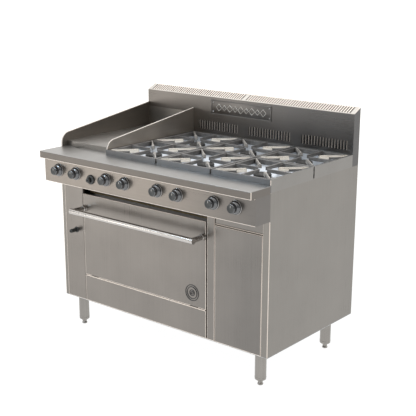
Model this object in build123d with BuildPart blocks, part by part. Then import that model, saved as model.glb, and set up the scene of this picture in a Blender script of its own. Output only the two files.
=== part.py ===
from build123d import *
import math
import os

os.makedirs("parts", exist_ok=True)

# Commercial gas range: six open burners, a griddle and one oven in a stainless steel cabinet.
# Millimetres. X runs along the front to the right, Y to the back, Z up. The origin is on the
# floor, under the middle of the overall box.

# ---------------------------------------------------------------- driving sizes: overall
width = 1220.0            # side to side, four equal modules
depth = 800.0             # knob fronts to rear edge
height = 1120.0           # floor to the rear edge of the flue cap
cook_height = 916.0       # floor to the top of the trivets
leg_height = 154.0        # floor to the underside of the cabinet
module_count = 4

# ---------------------------------------------------------------- driving sizes: front
knob_reach = 37.0         # knob front to control panel face
ledge_overhang = 30.0     # ledge front to control panel face
panel_overhang = 98.0     # control panel face to cabinet front
ledge_drop = 25.0         # trivet tops to ledge top
ledge_thickness = 33.0
panel_height = 113.0
skirt_height = 54.0       # trivet tops to the top of the side panels
left_return = 20.0        # front face of the left corner
right_return = 32.0       # front face of the right corner
left_panel_width = 122.0
door_width = 747.0
door_gap_left = 2.0
door_gap_right = 6.0
post_width = 41.0
kick_height = 128.0
kick_gap = 4.0
vent_gap = 59.0           # door top to the underside of the control panel
service_drop = 65.0       # underside of the control panel to the service panel top
service_gap = 2.0

# ---------------------------------------------------------------- driving sizes: sheet
sheet = 2.0
thin_sheet = 1.5
bend = 4.0                # outside radius of a bend
flange = 15.0
post_depth = 25.0
back_inset = 27.0         # rear edge to the back panel
rear_lip = 12.0

# ---------------------------------------------------------------- driving sizes: hob
rim_sheet = 2.5
hob_ledge = 18.0          # width of the ledge that carries the bowls and trivets
rear_rim = 3.0
notch_width = 9.0
bar_width = 24.0
bar_depth = 8.0
trivet_gap = 2.0
trivet_height = 23.0
frame_bar = 12.0
arm_width = 9.0
arm_reach = 25.0          # centre to the tip of a straight arm
finger_root = 7.0         # width of a diagonal finger at the frame
finger_width = 10.0       # its width at the middle of the pad
pad_width = 15.0
pad_length = 44.0
pad_reach = 66.0          # centre to the near end of a pad
pad_height = 17.0
pad_round = 2.0
trivet_round = 1.5
bowl_sheet = 1.5
bowl_depth = 25.0
bowl_floor = 120.0
bowl_hole = 44.0
head_flange = 52.0
head_radius = 36.0
head_height = 16.0
cap_radius = 38.0
cap_height = 10.0
neck_radius = 16.0
venturi_radius = 11.0
venturi_drop = 28.0       # bowl floor to the venturi axis
venturi_setback = 20.0    # cabinet front line to the venturi mouth, forwards

# ---------------------------------------------------------------- driving sizes: griddle
griddle_thickness = 24.0
griddle_setback = 45.0    # cabinet front to griddle plate front
guard_sheet = 3.0
guard_front_rise = 60.0   # ledge top to the top of the guard's front end
guard_rear_rise = 142.0   # ledge top to the top of the guard at the splashback
guard_back_rise = 119.0   # ledge top to the top of the guard's back wall
guard_setback = 7.0
guard_round = 50.0
drain_length = 40.0
drain_width = 12.0
drain_offset = -68.5
spout_length = 30.0

# ---------------------------------------------------------------- driving sizes: gas train
valve_offset = 57.0       # module centre to each of its two valves
knob_drop = 49.0          # ledge underside to the knob axis
knob_radius = 30.0
knob_neck = 21.0
knob_base = 8.0
knob_gap = 0.8
knob_rib = 12.0
vent_rows = 5
spindle_radius = 4.0
spindle_stop = 6.0        # manifold's front to the end of the spindle
running_clearance = 0.05
valve_radius = 12.0
valve_length = 27.0
manifold_size = 26.0
manifold_setback = 45.0   # control panel face to the manifold's front
pipe_radius = 11.5
inlet_radius = 13.2       # threaded end of the gas pipe
inlet_bore = 9.5
inlet_length = 17.0
inlet_side = 70.0         # right side to the inlet pipe's axis
inlet_stub = 5.0          # rear edge to the inlet pipe's end
tube_burner_radius = 13.0
tube_burner_spacing = 120.0
tube_burner_length = 400.0

# ---------------------------------------------------------------- driving sizes: oven
door_thickness = 38.0
seal_gap = 5.0            # back of the door to the oven's front flange
seal_width = 9.0
hinge_height = 10.0       # door's lower edge to the hinge axis
hinge_inset = 10.0        # door face to the hinge axis
hinge_side = 66.0         # door's side to the hinge
pin_radius = 3.0
ear_radius = 7.0
ear_width = 10.0
cheek = 3.0
handle_radius = 13.0
handle_reach = 80.0
handle_drop = 69.0        # door top to the handle's axis
handle_arm_radius = 12.0
liner_margin = 16.0       # door's edge to the oven liner
liner_floor_margin = 12.0
insulation_side = 14.0
oven_rear_gap = 59.0      # back panel to the insulation
sole_height = 36.0
rack_height = 200.0       # oven floor to the rack
rack_rod = 4.0
rack_wire = 2.5
rack_pitch = 27.0
rack_travel_gap = 36.0    # oven front flange to the rack's front rod
guide_depth = 15.0
guide_levels = (130.0, 200.0, 270.0)
tray_height = 40.0
tray_margin = 11.0
tray_setback = 50.0

# ---------------------------------------------------------------- driving sizes: back
splash_depth = 50.0
cap_slope = 23.0
cap_sheet = 2.0
slot_width = 6.5
slot_height = 42.0
slot_pitch = 15.5
slot_count = 16
slot_middle = 38.0        # trivet tops to the middle of the slots
cap_slot_pitch = 13.5
cap_slot_width = 6.5
cap_end = 18.0
cap_half_gap = 12.0
plate_length = 360.0
plate_height = 70.0
plate_thickness = 3.0
plate_border = 4.0
plate_middle = 72.0       # top rear edge to the plate's middle
plate_shift = -11.0

# ---------------------------------------------------------------- driving sizes: legs, buttons
leg_radius = 25.0
leg_inset_x = 69.0
leg_inset_front = 52.0
leg_inset_rear = 106.0
leg_chamfer = 4.0
foot_radius = 12.5
foot_height = 24.0
foot_stem = 8.0
foot_stem_length = 60.0
button_radius = 11.0
bezel_radius = 22.0
bezel_thickness = 8.0
bezel_barrel = 28.0
igniter_drop = 14.0       # knob axis to the igniter axis
button_reach = 24.0
oven_button_radius = 9.5
oven_button_reach = 40.0
oven_button_drop = 245.0  # underside of the control panel to the button
oven_button_shift = 11.0  # left panel's middle to the button
oven_bezel_radius = 14.0
oven_bezel_thickness = 4.0
emblem_radius = 38.0
emblem_inner = 22.0
emblem_line = 4.0
emblem_thickness = 2.0
emblem_side = 77.0        # door's right edge to the emblem's middle
emblem_rise = 62.0        # door's lower edge to the emblem's middle
screw_radius = 4.0
screw_height = 2.0

# ---------------------------------------------------------------- places worked out
half = width / 2
module = width / module_count
y_knob = -depth / 2
y_panel = y_knob + knob_reach
y_ledge = y_panel - ledge_overhang
y_cab = y_panel + panel_overhang
y_rear = depth / 2
y_back = y_rear - back_inset
y_splash = y_rear - splash_depth
y_hob_rear = y_splash

z_ledge = cook_height - ledge_drop
z_ledge_low = z_ledge - ledge_thickness
z_panel_low = z_ledge_low - panel_height
z_side = cook_height - skirt_height
z_floor = leg_height + sheet          # top of the base sheet, where the front panels stand
z_kick = z_floor + kick_height
z_door = z_kick + kick_gap
z_door_top = z_panel_low - vent_gap
z_service_top = z_panel_low - service_drop
z_knob = z_ledge_low - knob_drop
z_trivet = cook_height - trivet_height
z_bowl_rim = z_trivet - bowl_sheet
z_bowl_floor = z_bowl_rim - bowl_depth + bowl_sheet

x_left_panel = -half + left_return
x_door = x_left_panel + left_panel_width + door_gap_left
x_door_end = x_door + door_width
x_post = x_door_end + door_gap_right
x_post_end = x_post + post_width
x_right_corner = half - right_return

hob_x = -half + module
centres = [-half + module * (n + 0.5) for n in range(module_count)]
griddle_x = centres[0]
cell_depth = (y_hob_rear - y_cab) / 2
burner_rows = [y_cab + cell_depth / 2, y_cab + cell_depth * 1.5]
burners = [(x, y) for y in burner_rows for x in centres[1:]]
valves = [x + side * valve_offset for x in centres for side in (-1, 1)]

y_hinge = y_cab + hinge_inset
z_hinge = z_door + hinge_height
hinges = [x_door + hinge_side, x_door_end - hinge_side]
y_door_back = y_cab + door_thickness
y_oven = y_door_back + seal_gap
y_liner_end = y_back - oven_rear_gap - insulation_side
x_liner = x_door + liner_margin
x_liner_end = x_door_end - liner_margin
z_liner = z_door + liner_floor_margin
z_liner_top = z_door_top - liner_floor_margin
z_insulation = z_kick + sheet
z_tray = z_door_top + 1.0

AT_BASE = (Align.CENTER, Align.CENTER, Align.MIN)
FRONT = (0, -1, 0)
REAR = (0, 1, 0)
UP = (0, 0, 1)
RIGHT = (1, 0, 0)


def block(x, y, z, mode=Mode.ADD):
    """A box between a low and a high value along each axis."""
    middle = [(low + high) / 2 for low, high in (x, y, z)]
    with Locations(tuple(middle)):
        Box(x[1] - x[0], y[1] - y[0], z[1] - z[0], mode=mode)


def rod(start, direction, length, radius, mode=Mode.ADD):
    """A cylinder from a point along a direction."""
    with Locations(Plane(origin=start, z_dir=direction)):
        Cylinder(radius, length, align=AT_BASE, mode=mode)


def pan(piece, x, y, z, wall, open_to):
    """A folded sheet tray with rounded bends on its closed face, open towards one side."""
    block(x, y, z)
    axis = {"y": Axis.Y, "z": Axis.Z}[open_to]
    fillet(piece.faces().sort_by(axis)[0].edges(), bend)
    spans = {"x": list(x), "y": list(y), "z": list(z)}
    for span in spans.values():
        span[0] += wall
        span[1] -= wall
    spans[open_to][1] += 2 * wall
    block(spans["x"], spans["y"], spans["z"], mode=Mode.SUBTRACT)
    fillet(piece.faces().filter_by(axis).sort_by(axis)[1].edges(), bend - wall)


def save(builder, name):
    """Label a finished piece and write its file."""
    builder.part.label = name
    export_step(builder.part, f"parts/{name}.step")


# ---------------------------------------------------------------- base frame and legs
leg_places = [
    (side * (half - leg_inset_x), y)
    for y in (y_cab + leg_inset_front, y_rear - leg_inset_rear)
    for side in (-1, 1)
]

with BuildPart() as base_frame:
    block((-half, half), (y_cab, y_rear), (leg_height, z_floor))
    for front in (y_cab + post_depth + sheet, y_back - 2 * sheet):
        block((-half + sheet, half - sheet), (front, front + sheet), (z_floor, z_floor + post_depth))
    for bearer in (y_oven + post_depth, y_liner_end - 2 * post_depth):
        block((x_liner, x_liner_end), (bearer, bearer + sheet), (z_floor, z_insulation))
        top = (z_insulation - sheet, z_insulation)
        block((x_liner, x_liner_end), (bearer, bearer + post_depth), top)
save(base_frame, "base_frame")

with BuildPart() as legs:
    for x, y in leg_places:
        rod((x, y, foot_height), UP, leg_height - foot_height, leg_radius)
        lower = legs.edges().filter_by(GeomType.CIRCLE).sort_by_distance((x, y, foot_height))[0]
        chamfer(lower, leg_chamfer)
        bore = foot_stem + running_clearance
        rod((x, y, foot_height), UP, foot_stem_length + 2 * sheet, bore, mode=Mode.SUBTRACT)
save(legs, "legs")

foot_names = ("foot_front_left", "foot_front_right", "foot_rear_left", "foot_rear_right")
for name, (x, y) in zip(foot_names, leg_places):
    with BuildPart() as foot:
        rod((x, y, 0), UP, foot_height - 1, foot_radius)
        fillet(foot.edges().filter_by(GeomType.CIRCLE).sort_by(Axis.Z)[0], 2)
        rod((x, y, foot_height - 1), UP, foot_stem_length, foot_stem)
    save(foot, name)


# ---------------------------------------------------------------- cabinet shell
for side, name, lip in ((-1, "left_side_panel", left_return), (1, "right_side_panel", right_return)):
    edge = side * half
    inner = edge - side * sheet
    wall_x = sorted((edge, inner))
    lip_x = sorted((edge, edge - side * lip))
    rear_x = sorted((edge, edge - side * rear_lip))
    with BuildPart() as side_panel:
        block(wall_x, (y_cab, y_rear), (z_floor, z_side))
        block(lip_x, (y_cab, y_cab + sheet), (z_floor, z_side))
        block(rear_x, (y_rear - sheet, y_rear), (z_floor, z_side))
        fillet(side_panel.edges().filter_by(Axis.Z).sort_by_distance((edge, y_cab, z_side / 2))[0], bend)
        corner = (inner, y_cab + sheet, z_side / 2)
        fillet(side_panel.edges().filter_by(Axis.Z).sort_by_distance(corner)[0], bend - sheet)
    save(side_panel, name)

with BuildPart() as back_panel:
    inside = half - sheet
    pan(back_panel, (-inside, inside), (y_back, y_back + flange), (z_floor, z_side), sheet, "y")
    inlet = (half - inlet_side, y_back - 1, z_knob)
    rod(inlet, REAR, sheet + 2, inlet_radius + sheet, mode=Mode.SUBTRACT)
    vent_z = z_floor + 4 * post_depth
    for column in centres:
        for row in range(vent_rows):
            z = vent_z + row * 2 * flange
            span = (column - 2 * slot_height, column + 2 * slot_height)
            block(span, (y_back - 1, y_back + sheet + 1), (z, z + slot_width), mode=Mode.SUBTRACT)
save(back_panel, "back_panel")

z_button = z_panel_low - oven_button_drop
x_oven_button = x_left_panel + left_panel_width / 2 + oven_button_shift

with BuildPart() as left_front_panel:
    span = (x_left_panel, x_left_panel + left_panel_width)
    pan(left_front_panel, span, (y_cab, y_cab + flange), (z_floor, z_panel_low), thin_sheet, "y")
    hole = oven_button_radius + sheet + running_clearance
    rod((x_oven_button, y_cab - 1, z_button), REAR, flange, hole, mode=Mode.SUBTRACT)
save(left_front_panel, "left_front_panel")

with BuildPart() as centre_post:
    span = (x_post, x_post_end)
    pan(centre_post, span, (y_cab, y_cab + post_depth), (z_floor, z_panel_low), thin_sheet, "y")
save(centre_post, "centre_post")

with BuildPart() as service_rail:
    span = (x_post_end, x_right_corner)
    rail_front = y_cab + thin_sheet + 1.5
    rail_z = (z_service_top + kick_gap, z_panel_low)
    pan(service_rail, span, (rail_front, rail_front + flange), rail_z, thin_sheet, "y")
save(service_rail, "service_rail")

with BuildPart() as service_panel:
    span = (x_post_end + service_gap, x_right_corner - service_gap)
    pan(service_panel, span, (y_cab, y_cab + flange), (z_floor, z_service_top), thin_sheet, "y")
save(service_panel, "service_panel")

with BuildPart() as kick_panel:
    span = (x_door, x_door_end)
    pan(kick_panel, span, (y_cab, y_cab + flange), (z_floor, z_kick), thin_sheet, "y")
save(kick_panel, "kick_panel")

# ---------------------------------------------------------------- control panel and ledge
x_igniter = hob_x
z_igniter = z_knob - igniter_drop

with BuildPart() as control_panel:
    block((-half, half), (y_panel, y_cab), (z_panel_low, z_ledge_low))
    front_edges = control_panel.faces().sort_by(Axis.Y)[0].edges()
    fillet(front_edges.filter_by(Axis.X).sort_by(Axis.Z)[0], bend)
    inside = (-half + sheet, half - sheet)
    back = (y_panel + sheet, y_cab + 1)
    block(inside, back, (z_panel_low + sheet, z_ledge_low + 1), mode=Mode.SUBTRACT)
    corner = (0, y_panel + sheet, z_panel_low + sheet)
    fillet(control_panel.edges().filter_by(Axis.X).sort_by_distance(corner)[0], bend - sheet)
    for x in valves:
        rod((x, y_panel - 1, z_knob), REAR, sheet + 2, spindle_radius + sheet, mode=Mode.SUBTRACT)
    barrel = button_radius + sheet + running_clearance
    rod((x_igniter, y_panel - 1, z_igniter), REAR, sheet + 2, barrel, mode=Mode.SUBTRACT)
save(control_panel, "control_panel")

tongue_end = y_cab + griddle_setback
drain_x = griddle_x + drain_offset
drain_y = tongue_end - drain_width

with BuildPart() as front_ledge:
    block((-half, half), (y_ledge, y_cab), (z_ledge_low, z_ledge))
    nose = front_ledge.faces().sort_by(Axis.Y)[0].edges()
    fillet(nose, bend)
    inside = (-half + sheet, half - sheet)
    block(inside, (y_ledge + sheet, y_cab + 1), (z_ledge_low + sheet, z_ledge - sheet), mode=Mode.SUBTRACT)
    fillet(front_ledge.faces().filter_by(Axis.Y).sort_by(Axis.Y)[1].edges(), bend - sheet)
    block(inside, (y_panel + sheet, y_cab + 1), (z_ledge_low - 1, z_ledge_low + sheet), mode=Mode.SUBTRACT)
    tongue_x = (-half + guard_sheet + 0.5, hob_x - guard_sheet - 0.5)
    block(tongue_x, (y_cab, tongue_end + 5), (z_ledge - sheet, z_ledge))
    rod((drain_x, drain_y, z_ledge - spout_length), UP, spout_length - sheet, drain_width / 2 + sheet)
    with Locations((drain_x, drain_y, z_ledge)):
        with BuildSketch(Plane((drain_x, drain_y, z_ledge))) as drain_slot:
            SlotOverall(drain_length, drain_width - sheet)
    extrude(drain_slot.sketch, amount=-sheet, mode=Mode.SUBTRACT)
    rod((drain_x, drain_y, z_ledge - spout_length - 1), UP, spout_length + 1, drain_width / 2, mode=Mode.SUBTRACT)
save(front_ledge, "front_ledge")

# ---------------------------------------------------------------- hob
cell_x = [hob_x + module * n for n in range(module_count)]
cell_y = [y_cab, y_cab + cell_depth, y_hob_rear]

with BuildPart() as hob_surround:
    left_edge = hob_x + 0.5
    block((left_edge, half), (y_cab, y_hob_rear), (z_side, cook_height))
    fillet(hob_surround.edges().filter_by(Axis.Z).sort_by_distance((half, y_cab, cook_height))[0], bend)
    inner_x = (left_edge + rim_sheet, half - rim_sheet)
    inner_y = (y_cab + rim_sheet, y_hob_rear - rear_rim)
    block(inner_x, inner_y, (z_bowl_rim, cook_height + 1), mode=Mode.SUBTRACT)
    block(inner_x, inner_y, (z_side - 1, z_bowl_rim - bar_depth), mode=Mode.SUBTRACT)
    for x in centres[1:]:
        for y in burner_rows:
            opening_x = (x - module / 2 + hob_ledge, x + module / 2 - hob_ledge)
            opening_y = (y - cell_depth / 2 + hob_ledge, y + cell_depth / 2 - hob_ledge)
            block(opening_x, opening_y, (z_side - 1, cook_height), mode=Mode.SUBTRACT)
    for x in cell_x[1:-1]:
        span = (x - notch_width / 2, x + notch_width / 2)
        block(span, (y_cab - 1, y_cab + rim_sheet), (z_ledge + 1, cook_height + 1), mode=Mode.SUBTRACT)
    span = (cell_y[1] - notch_width / 2, cell_y[1] + notch_width / 2)
    notch_low = z_side + 2 * sheet
    block((half - rim_sheet, half + 1), span, (notch_low, cook_height + 1), mode=Mode.SUBTRACT)
save(hob_surround, "hob_surround")

with BuildPart() as spill_bowls:
    for x, y in burners:
        reach_x = module / 2 - rim_sheet - trivet_gap
        reach_y = cell_depth / 2 - rear_rim - trivet_gap
        block((x - reach_x, x + reach_x), (y - reach_y, y + reach_y), (z_bowl_rim, z_trivet))
        mouth = min(module, cell_depth) - 2 * hob_ledge - trivet_gap
        floor = Plane((x, y, z_bowl_floor))
        for wall, mode in ((0, Mode.ADD), (bowl_sheet, Mode.SUBTRACT)):
            lift = bowl_sheet if wall else 0
            with BuildSketch(Plane((x, y, z_bowl_floor - bowl_sheet + lift))) as low:
                RectangleRounded(bowl_floor - 2 * wall, bowl_floor - 2 * wall, 20)
            with BuildSketch(Plane((x, y, z_trivet if wall else z_bowl_rim))) as high:
                RectangleRounded(mouth - 2 * wall, mouth - 2 * wall, 20)
            loft([low.sketch, high.sketch], ruled=True, mode=mode)
        rod((x, y, z_bowl_floor - 5), UP, 10, bowl_hole, mode=Mode.SUBTRACT)
save(spill_bowls, "spill_bowls")

z_neck_top = z_bowl_floor + sheet
z_venturi = z_bowl_floor - venturi_drop
y_mouth = y_cab - venturi_setback

with BuildPart() as burner_heads:
    for x, y in burners:
        front_row = y == burner_rows[0]
        mouth_x = x - valve_offset if front_row else x + valve_offset
        rod((x, y, z_bowl_floor), UP, sheet, head_flange)
        rod((x, y, z_bowl_floor), UP, head_height, head_radius)
        rod((x, y, z_venturi), UP, z_bowl_floor - z_venturi, neck_radius)
        run = Vector(x - mouth_x, y - y_mouth, 0)
        rod((mouth_x, y_mouth, z_venturi), run.normalized(), run.length, venturi_radius)
        with Locations((x, y, z_venturi)):
            Sphere(neck_radius)
save(burner_heads, "burner_heads")

with BuildPart() as burner_caps:
    for x, y in burners:
        with BuildSketch(Plane((x, y, z_bowl_floor + head_height))) as cap_base:
            Circle(cap_radius)
        extrude(cap_base.sketch, amount=cap_height)
        fillet(burner_caps.edges().filter_by(GeomType.CIRCLE).sort_by_distance((x, y, cook_height))[0], 3)
save(burner_caps, "burner_caps")


def trivet(x, y):
    """A cast trivet: frame, four straight arms and four diagonal fingers with pads."""
    long = module - 2 * rim_sheet - 2 * trivet_gap
    wide = cell_depth - 2 * rear_rim - 2 * trivet_gap
    with BuildPart() as casting:
        with BuildSketch(Plane((x, y, z_trivet))) as outline:
            Rectangle(long, wide)
            Rectangle(long - 2 * frame_bar, wide - 2 * frame_bar, mode=Mode.SUBTRACT)
            for turn, edge in ((0, long / 2), (90, wide / 2), (180, long / 2), (270, wide / 2)):
                reach = edge - frame_bar / 2 - arm_reach
                with PolarLocations(arm_reach + reach / 2, 1, start_angle=turn):
                    Rectangle(reach, arm_width)
            tip = math.hypot(long, wide) / 2 - frame_bar
            angle = math.degrees(math.atan2(wide, long))
            pad_middle = pad_reach + pad_length / 2
            wedge = (
                (pad_middle, -finger_width / 2),
                (tip, -finger_root / 2),
                (tip, finger_root / 2),
                (pad_middle, finger_width / 2),
            )
            for turn in (angle, 180 - angle, 180 + angle, -angle):
                with PolarLocations(0, 1, start_angle=turn):
                    Polygon(*wedge, align=None)
                with PolarLocations(pad_middle, 1, start_angle=turn):
                    RectangleRounded(pad_length, pad_width, pad_round)
        extrude(outline.sketch, amount=trivet_height)
        clear = cap_radius + 2 * frame_bar
        low = z_trivet + trivet_height - pad_height
        rod((x, y, z_trivet), UP, low - z_trivet, clear + pad_length, mode=Mode.SUBTRACT)
        top = casting.faces().filter_by(Axis.Z).sort_by(Axis.Z)[-1]
        fillet(top.edges(), trivet_round)
    return casting


trivet_names = [f"trivet_{row}_{column}" for row in ("front", "rear") for column in ("left", "middle", "right")]
for name, (x, y) in zip(trivet_names, burners):
    save(trivet(x, y), name)

# ---------------------------------------------------------------- griddle
guard_left = -half
guard_right = hob_x
y_guard = y_cab + guard_setback
griddle_span = (guard_left + guard_sheet, guard_right - guard_sheet)

with BuildPart() as griddle_guard:
    front_top = z_ledge + guard_front_rise
    rear_top = z_ledge + guard_rear_rise
    for x in (guard_left, guard_right - guard_sheet):
        with BuildSketch(Plane(origin=(x, 0, 0), x_dir=REAR, z_dir=RIGHT)) as cheek_outline:
            with BuildLine():
                Polyline(
                    (y_guard, z_side),
                    (y_splash, z_side),
                    (y_splash, rear_top),
                    (y_guard, front_top),
                    (y_guard, z_side),
                )
            make_face()
            fillet(cheek_outline.vertices().sort_by_distance((y_guard, front_top, 0))[0], guard_round)
        extrude(cheek_outline.sketch, amount=guard_sheet)
    block(griddle_span, (y_splash - guard_sheet, y_splash), (z_side, z_ledge + guard_back_rise))
    for x in (griddle_span[0], griddle_span[1] - flange):
        shelf_y = (tongue_end + 5, y_splash - guard_sheet)
        block((x, x + flange), shelf_y, (z_ledge - sheet, z_ledge))
save(griddle_guard, "griddle_guard")

with BuildPart() as griddle_plate:
    inside = (griddle_span[0] + 0.5, griddle_span[1] - 0.5)
    block(inside, (tongue_end, y_splash - guard_sheet - 0.5), (z_ledge, z_ledge + griddle_thickness))
    fillet(griddle_plate.faces().sort_by(Axis.Z)[-1].edges(), 1.5)
save(griddle_plate, "griddle_plate")

# ---------------------------------------------------------------- gas train
y_manifold = y_panel + manifold_setback
x_inlet = half - inlet_side
y_inlet_end = y_rear - inlet_stub

with BuildPart() as gas_manifold:
    span = (-x_inlet - manifold_size / 2, x_inlet + manifold_size / 2)
    span_y = (y_manifold, y_manifold + manifold_size)
    span_z = (z_knob - manifold_size / 2, z_knob + manifold_size / 2)
    block(span, span_y, span_z)
    rod((x_inlet, y_manifold + sheet, z_knob), REAR, y_inlet_end - y_manifold - sheet, pipe_radius)
    rod((x_inlet, y_inlet_end, z_knob), FRONT, inlet_length, inlet_radius)
    hollow = [(low + sheet, high - sheet) for low, high in (span, span_y, span_z)]
    block(*hollow, mode=Mode.SUBTRACT)
    rod((x_inlet, y_manifold + manifold_size / 2, z_knob), REAR, depth, inlet_bore, mode=Mode.SUBTRACT)
save(gas_manifold, "gas_manifold")

with BuildPart() as gas_valves:
    for x in valves:
        spud_y = y_manifold - valve_radius
        rod((x, y_manifold - valve_length, z_knob), REAR, valve_length, valve_radius)
        rod((x, spud_y, z_knob), UP, z_venturi - z_knob, valve_radius / 2)
        with Locations((x, spud_y, z_venturi)):
            Sphere(valve_radius / 2)
        rod((x, spud_y, z_venturi), REAR, y_mouth - spud_y - sheet, valve_radius / 3)
        bore = spindle_radius + running_clearance
        rod((x, y_manifold - valve_length - 1, z_knob), REAR, valve_length - 4, bore, mode=Mode.SUBTRACT)
save(gas_valves, "gas_valves")

y_grip = y_knob
knob_names = [f"knob_{n + 1}" for n in range(len(valves))]
for name, x in zip(knob_names, valves):
    with BuildPart() as knob:
        foot_y = y_panel - knob_gap
        rod((x, foot_y, z_knob), FRONT, knob_base, knob_radius)
        fillet(knob.edges().filter_by(GeomType.CIRCLE).sort_by(Axis.Y)[0], 2.5)
        rod((x, foot_y, z_knob), FRONT, foot_y - y_grip, knob_neck)
        fillet(knob.edges().filter_by(GeomType.CIRCLE).sort_by(Axis.Y)[0], 2)
        rib = (x - knob_neck - 2.5, x + knob_neck + 2.5)
        block(rib, (y_grip + 3, foot_y - knob_base / 2), (z_knob - knob_rib / 2, z_knob + knob_rib / 2))
        rod((x, foot_y, z_knob), REAR, y_manifold - spindle_stop - foot_y, spindle_radius)
    save(knob, name)

with BuildPart() as igniter_bezels:
    seats = (
        (x_igniter, z_igniter, y_panel, bezel_radius, bezel_thickness, button_radius),
        (x_oven_button, z_button, y_cab, oven_bezel_radius, oven_bezel_thickness, oven_button_radius),
    )
    for x, z, face, radius, thickness, button in seats:
        rod((x, face, z), FRONT, thickness, radius)
        fillet(igniter_bezels.edges().filter_by(GeomType.CIRCLE).sort_by_distance((x, face - thickness, z))[0], 1.5)
        rod((x, face, z), REAR, bezel_barrel, button + sheet)
        bore = button + running_clearance
        rod((x, face - thickness - 1, z), REAR, bezel_barrel + thickness + 2, bore, mode=Mode.SUBTRACT)
save(igniter_bezels, "igniter_bezels")

buttons = (
    ("hob_igniter_button", x_igniter, z_igniter, y_panel, button_reach, button_radius),
    ("oven_igniter_button", x_oven_button, z_button, y_cab, oven_button_reach, oven_button_radius),
)
for name, x, z, face, reach, radius in buttons:
    with BuildPart() as button:
        rod((x, face - reach, z), REAR, reach + bezel_barrel - 8, radius)
        fillet(button.edges().filter_by(GeomType.CIRCLE).sort_by(Axis.Y)[0], 2)
    save(button, name)

with BuildPart() as tube_burners:
    oven_x = (x_door + x_door_end) / 2
    z_oven_tube = z_liner + sheet + sheet + tube_burner_radius
    z_griddle_tube = z_ledge - sheet - tube_burner_radius - 5
    oven_y = y_oven + 2 * post_depth
    for x, y, z in ((griddle_x, tongue_end + flange, z_griddle_tube), (oven_x, oven_y, z_oven_tube)):
        for side in (-1, 1):
            rod((x + side * tube_burner_spacing / 2, y, z), REAR, tube_burner_length, tube_burner_radius)
        cross = tube_burner_spacing + 2 * tube_burner_radius
        low = z - tube_burner_radius / 2
        high = z + tube_burner_radius / 2
        block((x - cross / 2, x + cross / 2), (y - 5, y + 25), (low, high))
        far = y + tube_burner_length
        block((x - cross / 2, x + cross / 2), (far - 25, far), (low, high))
    strap_y = (tongue_end + flange, tongue_end + 2 * flange)
    strap_z = (z_griddle_tube - sheet, z_griddle_tube + sheet)
    block(griddle_span, strap_y, strap_z)
    far_strap = tongue_end + tube_burner_length
    block(griddle_span, (far_strap, far_strap + flange), strap_z)
    for y in (oven_y, oven_y + tube_burner_length - flange):
        block((oven_x - 20, oven_x + 20), (y, y + flange), (z_liner + sheet, z_oven_tube))
save(tube_burners, "tube_burners")

# ---------------------------------------------------------------- oven
cavity_x = (x_liner + sheet, x_liner_end - sheet)
cavity_z = (z_liner + sheet, z_liner_top - sheet)

with BuildPart() as oven_liner:
    block((x_liner, x_liner_end), (y_oven, y_liner_end), (z_liner, z_liner_top))
    block((x_door + 2, x_door_end - 2), (y_oven, y_oven + sheet), (z_insulation, z_door_top - 2))
    block(cavity_x, (y_oven - 1, y_liner_end - sheet), cavity_z, mode=Mode.SUBTRACT)
save(oven_liner, "oven_liner")

with BuildPart() as oven_insulation:
    wrap = (x_liner - insulation_side, x_liner_end + insulation_side)
    block(wrap, (y_oven + sheet, y_liner_end + insulation_side), (z_insulation, z_tray))
    block((x_liner, x_liner_end), (y_oven, y_liner_end), (z_liner, z_liner_top), mode=Mode.SUBTRACT)
save(oven_insulation, "oven_insulation")

with BuildPart() as oven_sole:
    span = (cavity_x[0] + 1, cavity_x[1] - 1)
    sole_y = (y_oven + flange, y_liner_end - sheet - flange)
    top = cavity_z[0] + sole_height
    block(span, sole_y, (cavity_z[0], top))
    inside = (span[0] + sheet, span[1] - sheet)
    block(inside, (sole_y[0] - 1, sole_y[1] + 1), (cavity_z[0] - 1, top - sheet), mode=Mode.SUBTRACT)
    middle = (sole_y[0] + sole_y[1]) / 2
    for row in (-1, 1):
        with Locations((oven_x, middle + row * tube_burner_length / 2, top - sheet / 2)):
            with GridLocations(40, 1, 15, 1):
                Box(25, slot_width, 3 * sheet, mode=Mode.SUBTRACT)
save(oven_sole, "oven_sole")

guide_y = (y_oven + 2 * post_depth, y_liner_end - 2 * post_depth)
with BuildPart() as rack_guides:
    for wall, inward in ((cavity_x[0], 1), (cavity_x[1], -1)):
        strip = sorted((wall, wall + inward * cheek))
        shelf = sorted((wall, wall + inward * guide_depth))
        for y in guide_y:
            post_y = (y - flange / 2, y + flange / 2)
            post_z = (cavity_z[0] + sole_height + flange, cavity_z[1] - flange)
            block(strip, post_y, post_z)
        for level in guide_levels:
            z = cavity_z[0] + level
            block(shelf, (guide_y[0] - flange, guide_y[1] + flange), (z - sheet, z))
save(rack_guides, "rack_guides")

with BuildPart() as oven_rack:
    z = cavity_z[0] + rack_height + 0.3 + rack_rod
    rail = (cavity_x[0] + cheek + 1 + rack_rod, cavity_x[1] - cheek - 1 - rack_rod)
    rack_y = (y_oven + rack_travel_gap, guide_y[1] + flange)
    for x in rail:
        rod((x, rack_y[0], z), REAR, rack_y[1] - rack_y[0], rack_rod)
    for y in rack_y:
        rod((rail[0], y, z), RIGHT, rail[1] - rail[0], rack_rod)
    for x in rail:
        for y in rack_y:
            with Locations((x, y, z)):
                Sphere(rack_rod)
    wires = int((rail[1] - rail[0]) // rack_pitch)
    for n in range(wires):
        x = (rail[0] + rail[1]) / 2 + (n - (wires - 1) / 2) * rack_pitch
        rod((x, rack_y[0], z + rack_rod), REAR, rack_y[1] - rack_y[0], rack_wire)
save(oven_rack, "oven_rack")

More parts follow.
